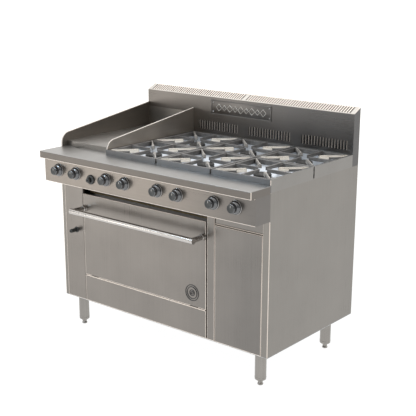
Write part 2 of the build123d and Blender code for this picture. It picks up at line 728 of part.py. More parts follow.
tray_x = (x_liner + tray_margin, x_liner_end - tray_margin)
tray_y = (y_cab + tray_setback, y_liner_end)
with BuildPart() as spill_tray:
    pan(spill_tray, tray_x, tray_y, (z_tray, z_tray + tray_height), thin_sheet, "z")
    lip = (tray_y[0] - flange, tray_y[0] + 1)
    lip_top = z_tray + tray_height
    block((tray_x[0] + flange, tray_x[1] - flange), lip, (lip_top - thin_sheet, lip_top))
save(spill_tray, "spill_tray")

# ---------------------------------------------------------------- oven door
pocket_half = ear_width / 2 + cheek + 4
pocket_top = z_hinge + ear_radius + 8


def hinge_pockets():
    """Cut the room that each hinge needs in the door's lower edge."""
    for x in hinges:
        span = (x - pocket_half, x + pocket_half)
        block(span, (y_cab + thin_sheet, y_door_back + 1), (z_door - 1, pocket_top), mode=Mode.SUBTRACT)


with BuildPart() as door_outer:
    pan(door_outer, (x_door, x_door_end), (y_cab, y_door_back), (z_door, z_door_top), thin_sheet, "y")
    hinge_pockets()
save(door_outer, "door_outer")

inner_x = (x_door + thin_sheet, x_door_end - thin_sheet)
inner_z = (z_door + thin_sheet, z_door_top - thin_sheet)
with BuildPart() as door_inner:
    block(inner_x, (y_door_back - sheet, y_door_back), inner_z)
    hinge_pockets()
save(door_inner, "door_inner")

with BuildPart() as door_insulation:
    core_x = (inner_x[0] + bend, inner_x[1] - bend)
    core_z = (inner_z[0] + bend, inner_z[1] - bend)
    block(core_x, (y_cab + thin_sheet, y_door_back - sheet), core_z)
    hinge_pockets()
save(door_insulation, "door_insulation")

with BuildPart() as door_gasket:
    seal_x = (x_liner - seal_width / 2, x_liner_end + seal_width / 2)
    seal_z = (z_liner + seal_width, z_liner_top + seal_width / 2)
    seal_y = (y_door_back, y_oven - 0.3)
    block(seal_x, seal_y, seal_z)
    hole_x = (seal_x[0] + seal_width, seal_x[1] - seal_width)
    hole_z = (seal_z[0] + seal_width, seal_z[1] - seal_width)
    block(hole_x, (seal_y[0] - 1, seal_y[1] + 1), hole_z, mode=Mode.SUBTRACT)
    for x in hinges:
        span = (x - pocket_half, x + pocket_half)
        block(span, (y_door_back - 1, y_oven), (z_door, pocket_top), mode=Mode.SUBTRACT)
save(door_gasket, "door_gasket")

with BuildPart() as door_hinge_pins:
    for x in hinges:
        gap = ear_width / 2 + 0.5
        for side in (-1, 1):
            span = sorted((x + side * gap, x + side * (gap + cheek)))
            block(span, (y_cab + thin_sheet, y_door_back - sheet), (z_door + sheet, pocket_top))
        rod((x - gap - cheek, y_hinge, z_hinge), RIGHT, 2 * (gap + cheek), pin_radius)
save(door_hinge_pins, "door_hinge_pins")

with BuildPart() as hinge_brackets:
    for x in hinges:
        rod((x - ear_width / 2, y_hinge, z_hinge), RIGHT, ear_width, ear_radius)
        ear = (x - ear_width / 2, x + ear_width / 2)
        block(ear, (y_hinge, y_oven), (z_hinge - ear_radius, z_hinge + ear_radius / 2))
        block((x - 2 * ear_width, x + 2 * ear_width), (y_oven - sheet, y_oven), (z_insulation, z_hinge + ear_radius / 2))
        bore = pin_radius + running_clearance
        rod((x - ear_width, y_hinge, z_hinge), RIGHT, 2 * ear_width, bore, mode=Mode.SUBTRACT)
save(hinge_brackets, "hinge_brackets")

z_handle = z_door_top - handle_drop
y_handle = y_cab - handle_reach
with BuildPart() as door_handle:
    ends = (x_door + handle_radius, x_door_end - handle_radius)
    wall = handle_radius - thin_sheet
    rod((x_door, y_handle, z_handle), RIGHT, door_width, handle_radius)
    for x in ends:
        rod((x, y_cab, z_handle), FRONT, handle_reach, handle_arm_radius)
        rod((x, y_cab, z_handle), FRONT, flange, handle_radius - 1)
    rod((x_door + cheek, y_handle, z_handle), RIGHT, door_width - 2 * cheek, wall, mode=Mode.SUBTRACT)
save(door_handle, "door_handle")

emblem_x = x_door_end - emblem_side
emblem_z = z_door + emblem_rise
with BuildPart() as door_emblem:
    for radius in (emblem_radius, emblem_inner):
        with BuildSketch(Plane(origin=(emblem_x, y_cab, emblem_z), z_dir=FRONT)) as ring:
            Circle(radius)
            Circle(radius - emblem_line, mode=Mode.SUBTRACT)
        extrude(ring.sketch, amount=emblem_thickness)
save(door_emblem, "door_emblem")

# ---------------------------------------------------------------- splashback and flue
z_cap_front = height - cap_slope
side_plane = Plane(origin=(-half, 0, 0), x_dir=REAR, z_dir=RIGHT)

with BuildPart() as splashback:
    with BuildSketch(side_plane) as duct:
        with BuildLine():
            Polyline(
                (y_splash, z_side),
                (y_rear, z_side),
                (y_rear, height - cap_sheet),
                (y_splash, z_cap_front - cap_sheet),
                (y_splash, z_side),
            )
        make_face()
    extrude(duct.sketch, amount=width)
    inside = (-half + sheet, half - sheet)
    block(inside, (y_splash + thin_sheet, y_rear - thin_sheet), (z_side - 1, height), mode=Mode.SUBTRACT)
    z_slots = cook_height + slot_middle
    for x in centres[1:]:
        with Locations((x, y_splash, z_slots)):
            with GridLocations(slot_pitch, 1, slot_count, 1):
                Box(slot_width, 3 * sheet, slot_height, mode=Mode.SUBTRACT)
save(splashback, "splashback")

with BuildPart() as flue_cap:
    with BuildSketch(side_plane) as lid:
        with BuildLine():
            Polyline(
                (y_splash, z_cap_front - cap_sheet),
                (y_rear, height - cap_sheet),
                (y_rear, height),
                (y_splash, z_cap_front),
                (y_splash, z_cap_front - cap_sheet),
            )
        make_face()
    extrude(lid.sketch, amount=width)
    run = half - cap_end - cap_half_gap / 2
    count = int(run // cap_slot_pitch)
    for side in (-1, 1):
        middle = side * (cap_half_gap / 2 + run / 2)
        with Locations((middle, (y_splash + y_rear) / 2, height)):
            with GridLocations(cap_slot_pitch, 1, count, 1):
                Box(cap_slot_width, splash_depth - 12, 4 * cap_slope, mode=Mode.SUBTRACT)
save(flue_cap, "flue_cap")

plate_z = height - plate_middle
plate_x = (plate_shift - plate_length / 2, plate_shift + plate_length / 2)
with BuildPart() as name_plate:
    block(plate_x, (y_splash - plate_thickness, y_splash), (plate_z - plate_height / 2, plate_z + plate_height / 2))
    field_x = (plate_x[0] + plate_border, plate_x[1] - plate_border)
    field_z = (plate_z - plate_height / 2 + plate_border, plate_z + plate_height / 2 - plate_border)
    block(field_x, (y_splash - plate_thickness - 1, y_splash - thin_sheet), field_z, mode=Mode.SUBTRACT)
save(name_plate, "name_plate")

with BuildPart() as screws:
    inset = plate_border + 2 * screw_radius
    for x in (plate_x[0] + inset, plate_x[1] - inset):
        for z in (plate_z - plate_height / 2 + inset, plate_z + plate_height / 2 - inset):
            rod((x, y_splash - thin_sheet, z), FRONT, screw_height, screw_radius)
    for x in cell_x + [-half]:
        edge = max(-half + 3 * flange, min(half - 3 * flange, x))
        for z in (z_floor + 2 * flange, z_side - 2 * flange):
            rod((edge, y_back + sheet, z), REAR, screw_height, screw_radius)
save(screws, "screws")
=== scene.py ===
import math

import bmesh
import bpy
from mathutils import Matrix, Vector


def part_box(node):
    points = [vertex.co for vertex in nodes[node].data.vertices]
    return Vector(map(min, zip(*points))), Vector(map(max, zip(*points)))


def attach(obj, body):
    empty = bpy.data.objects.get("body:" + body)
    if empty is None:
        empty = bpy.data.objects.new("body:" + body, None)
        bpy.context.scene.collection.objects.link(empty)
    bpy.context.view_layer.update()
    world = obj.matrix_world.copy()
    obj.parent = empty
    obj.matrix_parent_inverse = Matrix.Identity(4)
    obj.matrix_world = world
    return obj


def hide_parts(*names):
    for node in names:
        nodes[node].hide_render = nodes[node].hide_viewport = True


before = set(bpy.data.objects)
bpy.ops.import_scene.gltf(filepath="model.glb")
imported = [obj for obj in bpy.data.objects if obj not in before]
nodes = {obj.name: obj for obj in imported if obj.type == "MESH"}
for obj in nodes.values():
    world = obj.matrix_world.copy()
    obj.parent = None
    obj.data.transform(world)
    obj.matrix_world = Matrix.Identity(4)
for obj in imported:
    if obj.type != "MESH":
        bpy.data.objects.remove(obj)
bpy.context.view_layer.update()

MM = 0.001


# ---------------------------------------------------------------- shader sums and nodes
def add_node(tree, kind, settings=None, sockets=None, output=0):
    """Add a node to a tree: its settings first, then its sockets' values or links."""
    made = tree.nodes.new(kind)
    for label, value in (settings or {}).items():
        setattr(made, label, value)
    for label, value in (sockets or {}).items():
        if isinstance(value, bpy.types.NodeSocket):
            tree.links.new(value, made.inputs[label])
        else:
            made.inputs[label].default_value = value
    return made.outputs[output]


class Amount:
    """One output of a shader tree, with the usual sums written as Math nodes."""

    def __init__(self, finish, socket):
        self.finish = finish
        self.socket = socket

    def _sum(self, operation, other):
        return self.finish.node("ShaderNodeMath", {"operation": operation}, {0: self, 1: other})

    def __add__(self, other):
        return self._sum("ADD", other)

    def __mul__(self, other):
        return self._sum("MULTIPLY", other)

    __radd__ = __add__
    __rmul__ = __mul__


class Finish:
    """A material under construction: a principled surface and the nodes that feed it."""

    def __init__(self, name, **steady):
        self.material = bpy.data.materials.new(name)
        self.material.use_nodes = True
        self.tree = self.material.node_tree
        self.tree.nodes.clear()
        self.surface = self.tree.nodes.new("ShaderNodeBsdfPrincipled")
        output = self.tree.nodes.new("ShaderNodeOutputMaterial")
        self.tree.links.new(self.surface.outputs["BSDF"], output.inputs["Surface"])
        self.place = self.node("ShaderNodeTexCoord", output="Object")
        for label, value in steady.items():
            self.surface.inputs[label.replace("_", " ").title()].default_value = value

    def node(self, kind, settings=None, sockets=None, output=0):
        """Add a node whose sockets may also be fed by amounts."""
        fed = {label: getattr(value, "socket", value) for label, value in (sockets or {}).items()}
        return Amount(self, add_node(self.tree, kind, settings, fed, output))

    def stretched(self, scale):
        """Object coordinates stretched along some axes."""
        return self.node("ShaderNodeMapping", None, {"Vector": self.place, "Scale": scale})

    def noise(self, vector, scale, detail=2.0, roughness=0.5):
        """Grey noise between 0 and 1."""
        sockets = {"Vector": vector, "Scale": scale, "Detail": detail, "Roughness": roughness}
        return self.node("ShaderNodeTexNoise", None, sockets)

    def remap(self, amount, low, high, to_low=0.0, to_high=1.0):
        """Stretch part of a range over another."""
        sockets = {0: amount, 1: low, 2: high, 3: to_low, 4: to_high}
        return self.node("ShaderNodeMapRange", {"clamp": True}, sockets)

    def blend(self, factor, first, second):
        """Mix two colours."""
        sockets = {0: factor, 6: first, 7: second}
        return self.node("ShaderNodeMix", {"data_type": "RGBA"}, sockets, output=2)

    def bump(self, height, strength, distance):
        """A normal from a height."""
        return self.node("ShaderNodeBump", None, {"Height": height, "Strength": strength, "Distance": distance})

    def feed(self, **links):
        """Link what varies to the surface's sockets."""
        for label, value in links.items():
            self.tree.links.new(value.socket, self.surface.inputs[label.replace("_", " ").title()])
        return self.material


def rgba(red, green, blue):
    """A colour with full alpha."""
    return (red, green, blue, 1.0)


# ---------------------------------------------------------------- finishes
ALONG, ACROSS = 3.0, 420.0
GRAIN = {"x": (ALONG, ACROSS, ACROSS), "y": (ACROSS, ALONG, ACROSS), "z": (ACROSS, ACROSS, ALONG)}


def brushed_steel(name, grain, light, dark, rough, metallic=1.0):
    """Brushed sheet: fine scratches along the grain, faint rolling bands, a few smudges."""
    finish = Finish(name, metallic=metallic)
    scratches = finish.noise(finish.stretched(GRAIN[grain]), 1.0, 4.0, 0.6)
    band_scale = tuple(0.4 if value == ALONG else 9.0 for value in GRAIN[grain])
    bands = finish.noise(finish.stretched(band_scale), 1.0, 2.0, 0.5)
    smudges = finish.noise(finish.place, 4.5, 3.0, 0.55)
    tone = scratches * 0.45 + bands * 0.12 + smudges * 0.43
    colour = finish.blend(finish.remap(tone, 0.32, 0.68), rgba(*dark), rgba(*light))
    shine = finish.remap(scratches * 0.6 + smudges * 0.25, 0.25, 0.65, *rough)
    normal = finish.bump(scratches, 0.12, 0.0002)
    return finish.feed(base_color=colour, roughness=shine, normal=normal)


def painted_shade_sheet(name, grain, axis, first, last, near, far, rough=(0.24, 0.38)):
    """Brushed sheet with painted light and shade: its tone changes along an axis, near before the first place,
    far beyond the last.
    """
    finish = Finish(name, metallic=1.0)
    scratches = finish.noise(finish.stretched(GRAIN[grain]), 1.0, 4.0, 0.6)
    smudges = finish.noise(finish.place, 4.5, 3.0, 0.55)
    along = finish.node("ShaderNodeSeparateXYZ", None, {"Vector": finish.place}, output=axis)
    beyond = finish.remap(along, first, last)
    tone = finish.remap(scratches * 0.4 + smudges * 0.6, 0.28, 0.72)
    colours = []
    for light in (near, far):
        dark = tuple(value * 0.8 for value in light)
        colours.append(finish.blend(tone, rgba(*dark), rgba(*light)))
    colour = finish.blend(beyond, *colours)
    shine = finish.remap(scratches * 0.5 + smudges * 0.5, 0.25, 0.75, *rough)
    return finish.feed(base_color=colour, roughness=shine, normal=finish.bump(scratches, 0.06, 0.0002))


def cast_metal(name, light, dark, rough, pitting, metallic):
    """Sand-cast or coated metal: mottled, slightly pitted."""
    finish = Finish(name, metallic=metallic)
    pits = finish.noise(finish.place, 420.0, 3.0, 0.6)
    mottle = finish.noise(finish.place, 32.0, 4.0, 0.6)
    colour = finish.blend(finish.remap(mottle * 0.7 + pits * 0.3, 0.38, 0.62), rgba(*dark), rgba(*light))
    shine = finish.remap(mottle, 0.3, 0.7, *rough)
    return finish.feed(base_color=colour, roughness=shine, normal=finish.bump(pits, pitting, 0.0006))


def moulded(name, colour, rough, coat=0.0, ior=1.5):
    """Moulded plastic or enamel with a faint orange peel."""
    finish = Finish(name, metallic=0.0)
    finish.surface.inputs["Coat Roughness"].default_value = 0.05
    finish.surface.inputs["IOR"].default_value = ior
    peel = finish.noise(finish.place, 260.0, 2.0, 0.5)
    dust = finish.noise(finish.place, 30.0, 3.0, 0.6)
    lighter = tuple(min(1.0, value * 1.5 + 0.006) for value in colour)
    tone = finish.blend(finish.remap(dust, 0.4, 0.7), rgba(*colour), rgba(*lighter))
    shine = finish.remap(dust, 0.3, 0.7, rough, rough + 0.12)
    finish.surface.inputs["Coat Weight"].default_value = coat
    return finish.feed(base_color=tone, roughness=shine, normal=finish.bump(peel, 0.05, 0.0003))


def spangled(name, light, dark):
    """Galvanised sheet with a soft spangle."""
    finish = Finish(name, metallic=1.0)
    cells = finish.node("ShaderNodeTexVoronoi", None, {"Vector": finish.place, "Scale": 70.0}, output="Color")
    grey = finish.node("ShaderNodeRGBToBW", None, {"Color": cells})
    colour = finish.blend(finish.remap(grey, 0.2, 0.8), rgba(*dark), rgba(*light))
    return finish.feed(base_color=colour, roughness=finish.remap(grey, 0.0, 1.0, 0.38, 0.52))


def wool(name, light, dark):
    """Mineral wool."""
    finish = Finish(name, metallic=0.0)
    fibres = finish.noise(finish.place, 260.0, 5.0, 0.7)
    colour = finish.blend(fibres, rgba(*dark), rgba(*light))
    finish.surface.inputs["Roughness"].default_value = 0.95
    return finish.feed(base_color=colour, normal=finish.bump(fibres, 0.6, 0.002))


ledge_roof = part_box("front_ledge")[1][2]
hob_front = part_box("hob_surround")[0][1]
# each line: the grain, the axis of the change and its two ends in metres, the two tones of painted light and
# shade, the roughness
painted_shade_tones = {
    # painted shade: the front sheets darker towards the right
    "front_steel": ("z", "X", 0.15, 0.50, (0.292, 0.270, 0.248), (0.245, 0.231, 0.216)),
    # painted shade: the control panel darker towards its right end
    "panel_steel": ("x", "X", 0.20, 0.58, (0.325, 0.292, 0.260), (0.200, 0.188, 0.176)),
    # painted light: the ledge's top lighter than its front face
    "top_steel": (
        "x", "Z", ledge_roof - 3.0 * MM, ledge_roof - 0.5 * MM,
        (0.198, 0.181, 0.164), (0.400, 0.390, 0.376), (0.30, 0.44),
    ),
    # painted light and shade: the left guard shaded, the right guard lit
    "guard_steel": ("y", "X", -0.5, -0.35, (0.285, 0.262, 0.235), (0.58, 0.525, 0.465), (0.34, 0.48)),
    # painted shade: the hob's front skirt darker and bluer than its top
    "hob_steel": (
        "x", "Y", hob_front + 2.0 * MM, hob_front + 5.0 * MM, (0.232, 0.234, 0.240), (0.305, 0.293, 0.275),
    ),
    # painted shade: the splashback darker towards the right, where it reflects the dark hob
    "back_steel": ("x", "X", -0.45, 0.30, (0.240, 0.220, 0.200), (0.150, 0.146, 0.143), (0.24, 0.36)),
}
# each line: the grain, the light and dark tones, the roughness, and how metallic where not wholly
brushed = {
    "side_steel": ("z", (0.288, 0.272, 0.250), (0.240, 0.227, 0.209), (0.26, 0.40)),
    "cap_steel": ("y", (0.62, 0.58, 0.53), (0.50, 0.47, 0.43), (0.3, 0.45), 0.5),
    "tube_steel": ("x", (0.60, 0.575, 0.55), (0.48, 0.46, 0.44), (0.16, 0.28)),
    "leg_steel": ("z", (0.36, 0.343, 0.318), (0.25, 0.238, 0.222), (0.10, 0.20)),
    "griddle_steel": ("y", (0.37, 0.35, 0.325), (0.24, 0.226, 0.210), (0.3, 0.45)),
    "pressed_steel": ("x", (0.66, 0.70, 0.75), (0.50, 0.535, 0.58), (0.26, 0.40), 0.6),
    "dull_steel": ("y", (0.36, 0.36, 0.37), (0.26, 0.26, 0.27), (0.35, 0.5)),
    "collar_steel": ("x", (0.50, 0.49, 0.48), (0.40, 0.39, 0.38), (0.2, 0.32)),
    # painted highlight: the next two are cream tones for beads, slats and lips that stand for light caught on
    # edges
    "edge_steel": ("z", (0.92, 0.82, 0.73), (0.78, 0.69, 0.61), (0.28, 0.40), 0.2),
    "rim_steel": ("y", (0.90, 0.83, 0.75), (0.78, 0.72, 0.65), (0.26, 0.38), 0.2),
    "plate_field": ("x", (0.235, 0.222, 0.208), (0.180, 0.170, 0.160), (0.42, 0.55)),
    "plate_boss": ("x", (0.66, 0.63, 0.58), (0.52, 0.50, 0.46), (0.25, 0.36), 0.4),
    "wire_chrome": ("y", (0.80, 0.80, 0.81), (0.68, 0.68, 0.69), (0.1, 0.2)),
}
# each line: the light and dark tones, the roughness, the pitting, how metallic
cast = {
    "trivet_iron": ((0.215, 0.205, 0.195), (0.125, 0.12, 0.115), (0.34, 0.5), 0.35, 0.4),
    # painted light: the next two lines are lit and half-lit copies of the trivet iron
    "trivet_ground": ((0.97, 0.90, 0.79), (0.88, 0.79, 0.68), (0.4, 0.55), 0.3, 0.0),
    "trivet_worn": ((0.46, 0.43, 0.39), (0.30, 0.28, 0.255), (0.4, 0.55), 0.3, 0.2),
    "burner_cast": ((0.62, 0.62, 0.60), (0.46, 0.46, 0.45), (0.4, 0.6), 0.4, 0.9),
    "black_iron": ((0.07, 0.066, 0.062), (0.025, 0.024, 0.023), (0.5, 0.7), 0.5, 0.4),
    # painted shade: near black for the shaded inside of the flue
    "soot": ((0.016, 0.012, 0.010), (0.006, 0.005, 0.004), (0.8, 0.95), 0.3, 0.0),
    "brass": ((0.72, 0.53, 0.25), (0.55, 0.38, 0.16), (0.25, 0.4), 0.05, 1.0),
}
# each line: the colour, the roughness, the coat, the refractive index
moulding = {
    "knob_gloss": ((0.010, 0.013, 0.018), 0.12, 0.8, 2.1),
    "knob_face": ((0.035, 0.037, 0.036), 0.42),
    "enamel": ((0.03, 0.032, 0.04), 0.18, 0.5),
    "seal_rubber": ((0.02, 0.02, 0.02), 0.7),
    "emblem_dark": ((0.03, 0.03, 0.032), 0.3),
}
paints = {
    "zinc": spangled("zinc", (0.50, 0.51, 0.52), (0.36, 0.37, 0.39)),
    "mineral_wool": wool("mineral_wool", (0.62, 0.52, 0.30), (0.42, 0.34, 0.18)),
}
makers = (painted_shade_sheet, brushed_steel, cast_metal, moulded)
for maker, table in zip(makers, (painted_shade_tones, brushed, cast, moulding)):
    for name, values in table.items():
        paints[name] = maker(name, *values)

wearers = {
    "front_steel": (
        "left_front_panel", "centre_post", "service_rail", "service_panel", "kick_panel", "door_outer",
    ),
    "side_steel": ("left_side_panel", "right_side_panel"),
    "panel_steel": ("control_panel",),
    "top_steel": ("front_ledge", "name_plate"),
    "guard_steel": ("griddle_guard",),
    "hob_steel": ("hob_surround",),
    "back_steel": ("splashback",),
    "tube_steel": ("door_handle",),
    "leg_steel": ("legs", *(name for name in nodes if name.startswith("foot_"))),
    "griddle_steel": ("griddle_plate",),
    "pressed_steel": ("spill_bowls",),
    "dull_steel": ("gas_manifold", "hinge_brackets", "door_hinge_pins", "screws"),
    "wire_chrome": ("oven_rack", "rack_guides"),
    "zinc": ("base_frame", "back_panel", "spill_tray"),
    "trivet_iron": tuple(name for name in nodes if name.startswith("trivet_")),
    "burner_cast": ("burner_heads",),
    "black_iron": ("burner_caps", "tube_burners"),
    "brass": ("gas_valves",),
    "knob_gloss": tuple(name for name in nodes if name.startswith("knob_")),
    "knob_face": ("hob_igniter_button", "oven_igniter_button", "igniter_bezels"),
    "enamel": ("oven_liner", "oven_sole", "door_inner"),
    "seal_rubber": ("door_gasket",),
    "emblem_dark": ("door_emblem",),
    "mineral_wool": ("oven_insulation", "door_insulation"),
}
for paint, members in wearers.items():
    for name in members:
        mesh = nodes[name].data
        mesh.materials.clear()
        mesh.materials.append(paints[paint])


# ---------------------------------------------------------------- places read from the frame
def span(node, axis):
    """Lowest and highest value of a CAD node along an axis."""
    low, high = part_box(node)
    return low[axis], high[axis]


def middle(node, *axes):
    """The middle of a CAD node along some axes."""
    low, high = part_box(node)
    return tuple((low[axis] + high[axis]) / 2 for axis in axes)


X, Y, Z = 0, 1, 2
half = span("control_panel", X)[1]
panel_face, cabinet_face = span("control_panel", Y)
panel_low, ledge_low = span("control_panel", Z)
ledge_face = span("front_ledge", Y)[0]
ledge_top = span("front_ledge", Z)[1]
side_low, side_top = span("left_side_panel", Z)
base_low = span("base_frame", Z)[0]
hob_left = span("hob_surround", X)[0]
cook_top = span("hob_surround", Z)[1]
splash_face, rear_face = span("splashback", Y)
cap_front, range_top = span("flue_cap", Z)
cap_front += 2.0 * MM
door_left, door_right = span("door_outer", X)
knob_names = sorted(name for name in nodes if name.startswith("knob_"))
foot_names = sorted(name for name in nodes if name.startswith("foot_"))
trivet_places = {name: middle(name, X, Y) for name in nodes if name.startswith("trivet_")}


# ---------------------------------------------------------------- mesh making
def put(name, mesh, body, materials=(), replaces=()):
    """Link a finished mesh as a piece that rides on a body. Its materials are names of paints."""
    piece = bpy.data.objects.new(name, mesh)
    bpy.context.scene.collection.objects.link(piece)
    for material in materials:
        mesh.materials.append(paints[material])
    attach(piece, body)
    if replaces:
        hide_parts(*replaces)
    return piece


def turned(mesh, profile, place, axis, steps=40, material=0):
    """Turn a profile about an axis into a closed shape. It lists radii and distances along the axis, in mm."""
    turn = Vector((0, 0, 1)).rotation_difference(Vector(axis)).to_matrix()
    place = Vector(place)
    rings = []
    for radius, along in profile:
        ring = []
        for step in range(steps if radius else 1):
            angle = 2 * math.pi * step / steps
            point = Vector((radius * math.cos(angle), radius * math.sin(angle), along)) * MM
            ring.append(mesh.verts.new(place + turn @ point))
        rings.append(ring)
    made = []
    for lower, upper in zip(rings, rings[1:]):
        for step in range(steps):
            after = (step + 1) % steps
            around = ((lower, step), (lower, after), (upper, after), (upper, step))
            corners = dict.fromkeys(ring[place_on % len(ring)] for ring, place_on in around)
            made.append(mesh.faces.new(tuple(corners)))
    for face in made:
        face.smooth = True
        face.material_index = material
    bmesh.ops.recalc_face_normals(mesh, faces=made)


def prism(mesh, outline, low, high, material=0):
    """An upright block on a flat outline."""
    lower = [mesh.verts.new((x, y, low)) for x, y in outline]
    upper = [mesh.verts.new((x, y, high)) for x, y in outline]
    made = [mesh.faces.new(lower[::-1]), mesh.faces.new(upper)]
    for step in range(len(outline)):
        after = (step + 1) % len(outline)
        made.append(mesh.faces.new((lower[step], lower[after], upper[after], upper[step])))
    for face in made:
        face.material_index = material
    bmesh.ops.recalc_face_normals(mesh, faces=made)
    return made


def box_of(mesh, x, y, z, material=0):
    """An upright block between low and high values."""
    outline = ((x[0], y[0]), (x[1], y[0]), (x[1], y[1]), (x[0], y[1]))
    return prism(mesh, outline, z[0], z[1], material)


def softened(mesh, name, width, segments=2):
    """Bevel the sharp edges of a bmesh and give it as a plain mesh."""
    sharp = [edge for edge in mesh.edges if edge.is_manifold and edge.calc_face_angle(0) > math.radians(30.0)]
    bmesh.ops.bevel(mesh, geom=sharp, offset=width, segments=segments, affect="EDGES", profile=0.6)
    for face in mesh.faces:
        face.smooth = True
    return plain(mesh, name)


def plain(mesh, name):
    """Give a bmesh as a mesh and free it."""
    made = bpy.data.meshes.new(name)
    mesh.to_mesh(made)
    mesh.free()
    return made


# ---------------------------------------------------------------- repeating things
class Pattern:
    """A Geometry Nodes tree under construction, with named sizes."""

    def __init__(self, name, **sizes):
        self.tree = bpy.data.node_groups.new(name, "GeometryNodeTree")
        face = self.tree.interface
        face.new_socket("Geometry", in_out="OUTPUT", socket_type="NodeSocketGeometry")
        face.new_socket("Geometry", in_out="INPUT", socket_type="NodeSocketGeometry")
        self.sockets = {}
        for label, kind in sizes.items():
            made = face.new_socket(label, in_out="INPUT", socket_type="NodeSocket" + kind)
            self.sockets[label] = made.identifier
        self.given = self.tree.nodes.new("NodeGroupInput")
        self.result = self.tree.nodes.new("NodeGroupOutput")

    def node(self, *kind_and_values, **options):
        """Add a node to this tree."""
        return add_node(self.tree, *kind_and_values, **options)

    def close(self, geometry):
        """Realize the instances, set the material and finish the tree."""
        real = self.node("GeometryNodeRealizeInstances", None, {"Geometry": geometry})
        finish = self.given.outputs["finish"]
        painted = self.node("GeometryNodeSetMaterial", None, {"Geometry": real, "Material": finish})
        self.tree.links.new(painted, self.result.inputs["Geometry"])

    def bake(self, name, start, body, slot, finish, replaces=(), **sizes):
        """Run the tree on a starting mesh and keep the result as a plain piece."""
        holder = bpy.data.objects.new(name + "_start", start)
        bpy.context.scene.collection.objects.link(holder)
        modifier = holder.modifiers.new("pattern", "NODES")
        modifier.node_group = self.tree
        modifier[self.sockets["finish"]] = paints[finish]
        for label, value in sizes.items():
            modifier[self.sockets[label]] = value
        ready = holder.evaluated_get(bpy.context.evaluated_depsgraph_get())
        mesh = bpy.data.meshes.new_from_object(ready)
        mesh.name = name
        holder.modifiers.remove(modifier)
        bpy.data.objects.remove(holder)
        return put(name, mesh, body, (), replaces)


def bead_pattern():
    """A round bead swept along lines."""
    pattern = Pattern("bead_along_lines", radius="Float", sides="Int", finish="Material")
    given = pattern.given.outputs
    path = pattern.node("GeometryNodeMeshToCurve", None, {"Mesh": given["Geometry"]})
    sizes = {"Resolution": given["sides"], "Radius": given["radius"]}
    ring = pattern.node("GeometryNodeCurvePrimitiveCircle", {"mode": "RADIUS"}, sizes)
    sweep = {"Curve": path, "Profile Curve": ring, "Fill Caps": True}
    swept = pattern.node("GeometryNodeCurveToMesh", None, sweep)
    pattern.close(pattern.node("GeometryNodeSetShadeSmooth", None, {"Geometry": swept, "Shade Smooth": True}))
    return pattern


def row_pattern():
    """A small part repeated along a row that starts at each given point."""
    pattern = Pattern("part_in_rows", count="Int", step="Vector", part="Object", finish="Material")
    given = pattern.given.outputs
    sizes = {"Count": given["count"], "Offset": given["step"]}
    row = pattern.node("GeometryNodeMeshLine", {"mode": "OFFSET"}, sizes)
    rows = pattern.node("GeometryNodeInstanceOnPoints", None, {"Points": given["Geometry"], "Instance": row})
    points = pattern.node("GeometryNodeRealizeInstances", None, {"Geometry": rows})
    part = pattern.node("GeometryNodeObjectInfo", None, {"Object": given["part"]}, output="Geometry")
    pattern.close(pattern.node("GeometryNodeInstanceOnPoints", None, {"Points": points, "Instance": part}))
    return pattern


def ring_pattern():
    """A small part repeated round an upright ring at each given point."""
    pattern = Pattern("part_in_rings", count="Int", radius="Float", part="Object", finish="Material")
    given = pattern.given.outputs
    sizes = {"Vertices": given["count"], "Radius": given["radius"]}
    ring = pattern.node("GeometryNodeMeshCircle", {"fill_type": "NONE"}, sizes)
    index = pattern.node("GeometryNodeInputIndex")
    share = pattern.node("ShaderNodeMath", {"operation": "DIVIDE"}, {0: index, 1: given["count"]})
    angle = pattern.node("ShaderNodeMath", {"operation": "MULTIPLY"}, {0: share, 1: 2 * math.pi})
    turn = pattern.node("ShaderNodeCombineXYZ", None, {"Z": angle})
    part = pattern.node("GeometryNodeObjectInfo", None, {"Object": given["part"]}, output="Geometry")
    around = {"Points": ring, "Instance": part, "Rotation": turn}
    one = pattern.node("GeometryNodeInstanceOnPoints", None, around)
    placed = {"Points": given["Geometry"], "Instance": one}
    pattern.close(pattern.node("GeometryNodeInstanceOnPoints", None, placed))
    return pattern


def spots(name, points, lines=()):
    """A starting mesh of points, or of lines through points."""
    mesh = bpy.data.meshes.new(name)
    mesh.from_pydata(points, lines, [])
    return mesh


def runs(name, paths):
    """A starting mesh of several open lines; a path that ends where it began is closed."""
    points, lines = [], []
    for path in paths:
        first = len(points)
        closed = path[0] == path[-1]
        kept = path[:-1] if closed else path
        points += kept
        lines += [(first + n, first + n + 1) for n in range(len(kept) - 1)]
        if closed:
            lines.append((first + len(kept) - 1, first))
    return spots(name, points, lines)


def small_part(mesh, name):
    """An unlinked object that a pattern repeats."""
    return bpy.data.objects.new(name, plain(mesh, name))


beads = bead_pattern()
rows = row_pattern()
rings = ring_pattern()


# ---------------------------------------------------------------- rolled edges, coloured as painted highlights
BEAD = 1.8 * MM
RIM = 2.3 * MM


def tucked(x, y, z, *inward):
    """A point just inside a corner, so that a bead there stays flush with both faces."""
    point = Vector((x, y, z))
    for direction in inward:
        point += Vector(direction) * BEAD
    return tuple(point)


UP, DOWN = (0, 0, 1), (0, 0, -1)
BACK, FORWARD = (0, 1, 0), (0, -1, 0)
TO_RIGHT, TO_LEFT = (1, 0, 0), (-1, 0, 0)


def along_x(x, y, z, *inward):
    """A level line from side to side."""
    return [tucked(x[0], y, z, TO_RIGHT, *inward), tucked(x[1], y, z, TO_LEFT, *inward)]


def along_y(x, y, z, *inward):
    """A level line from front to back."""
    return [tucked(x, y[0], z, BACK, *inward), tucked(x, y[1], z, FORWARD, *inward)]


def along_z(x, y, z, *inward):
    """An upright line."""
    return [tucked(x, y, z[0], UP, *inward), tucked(x, y, z[1], DOWN, *inward)]


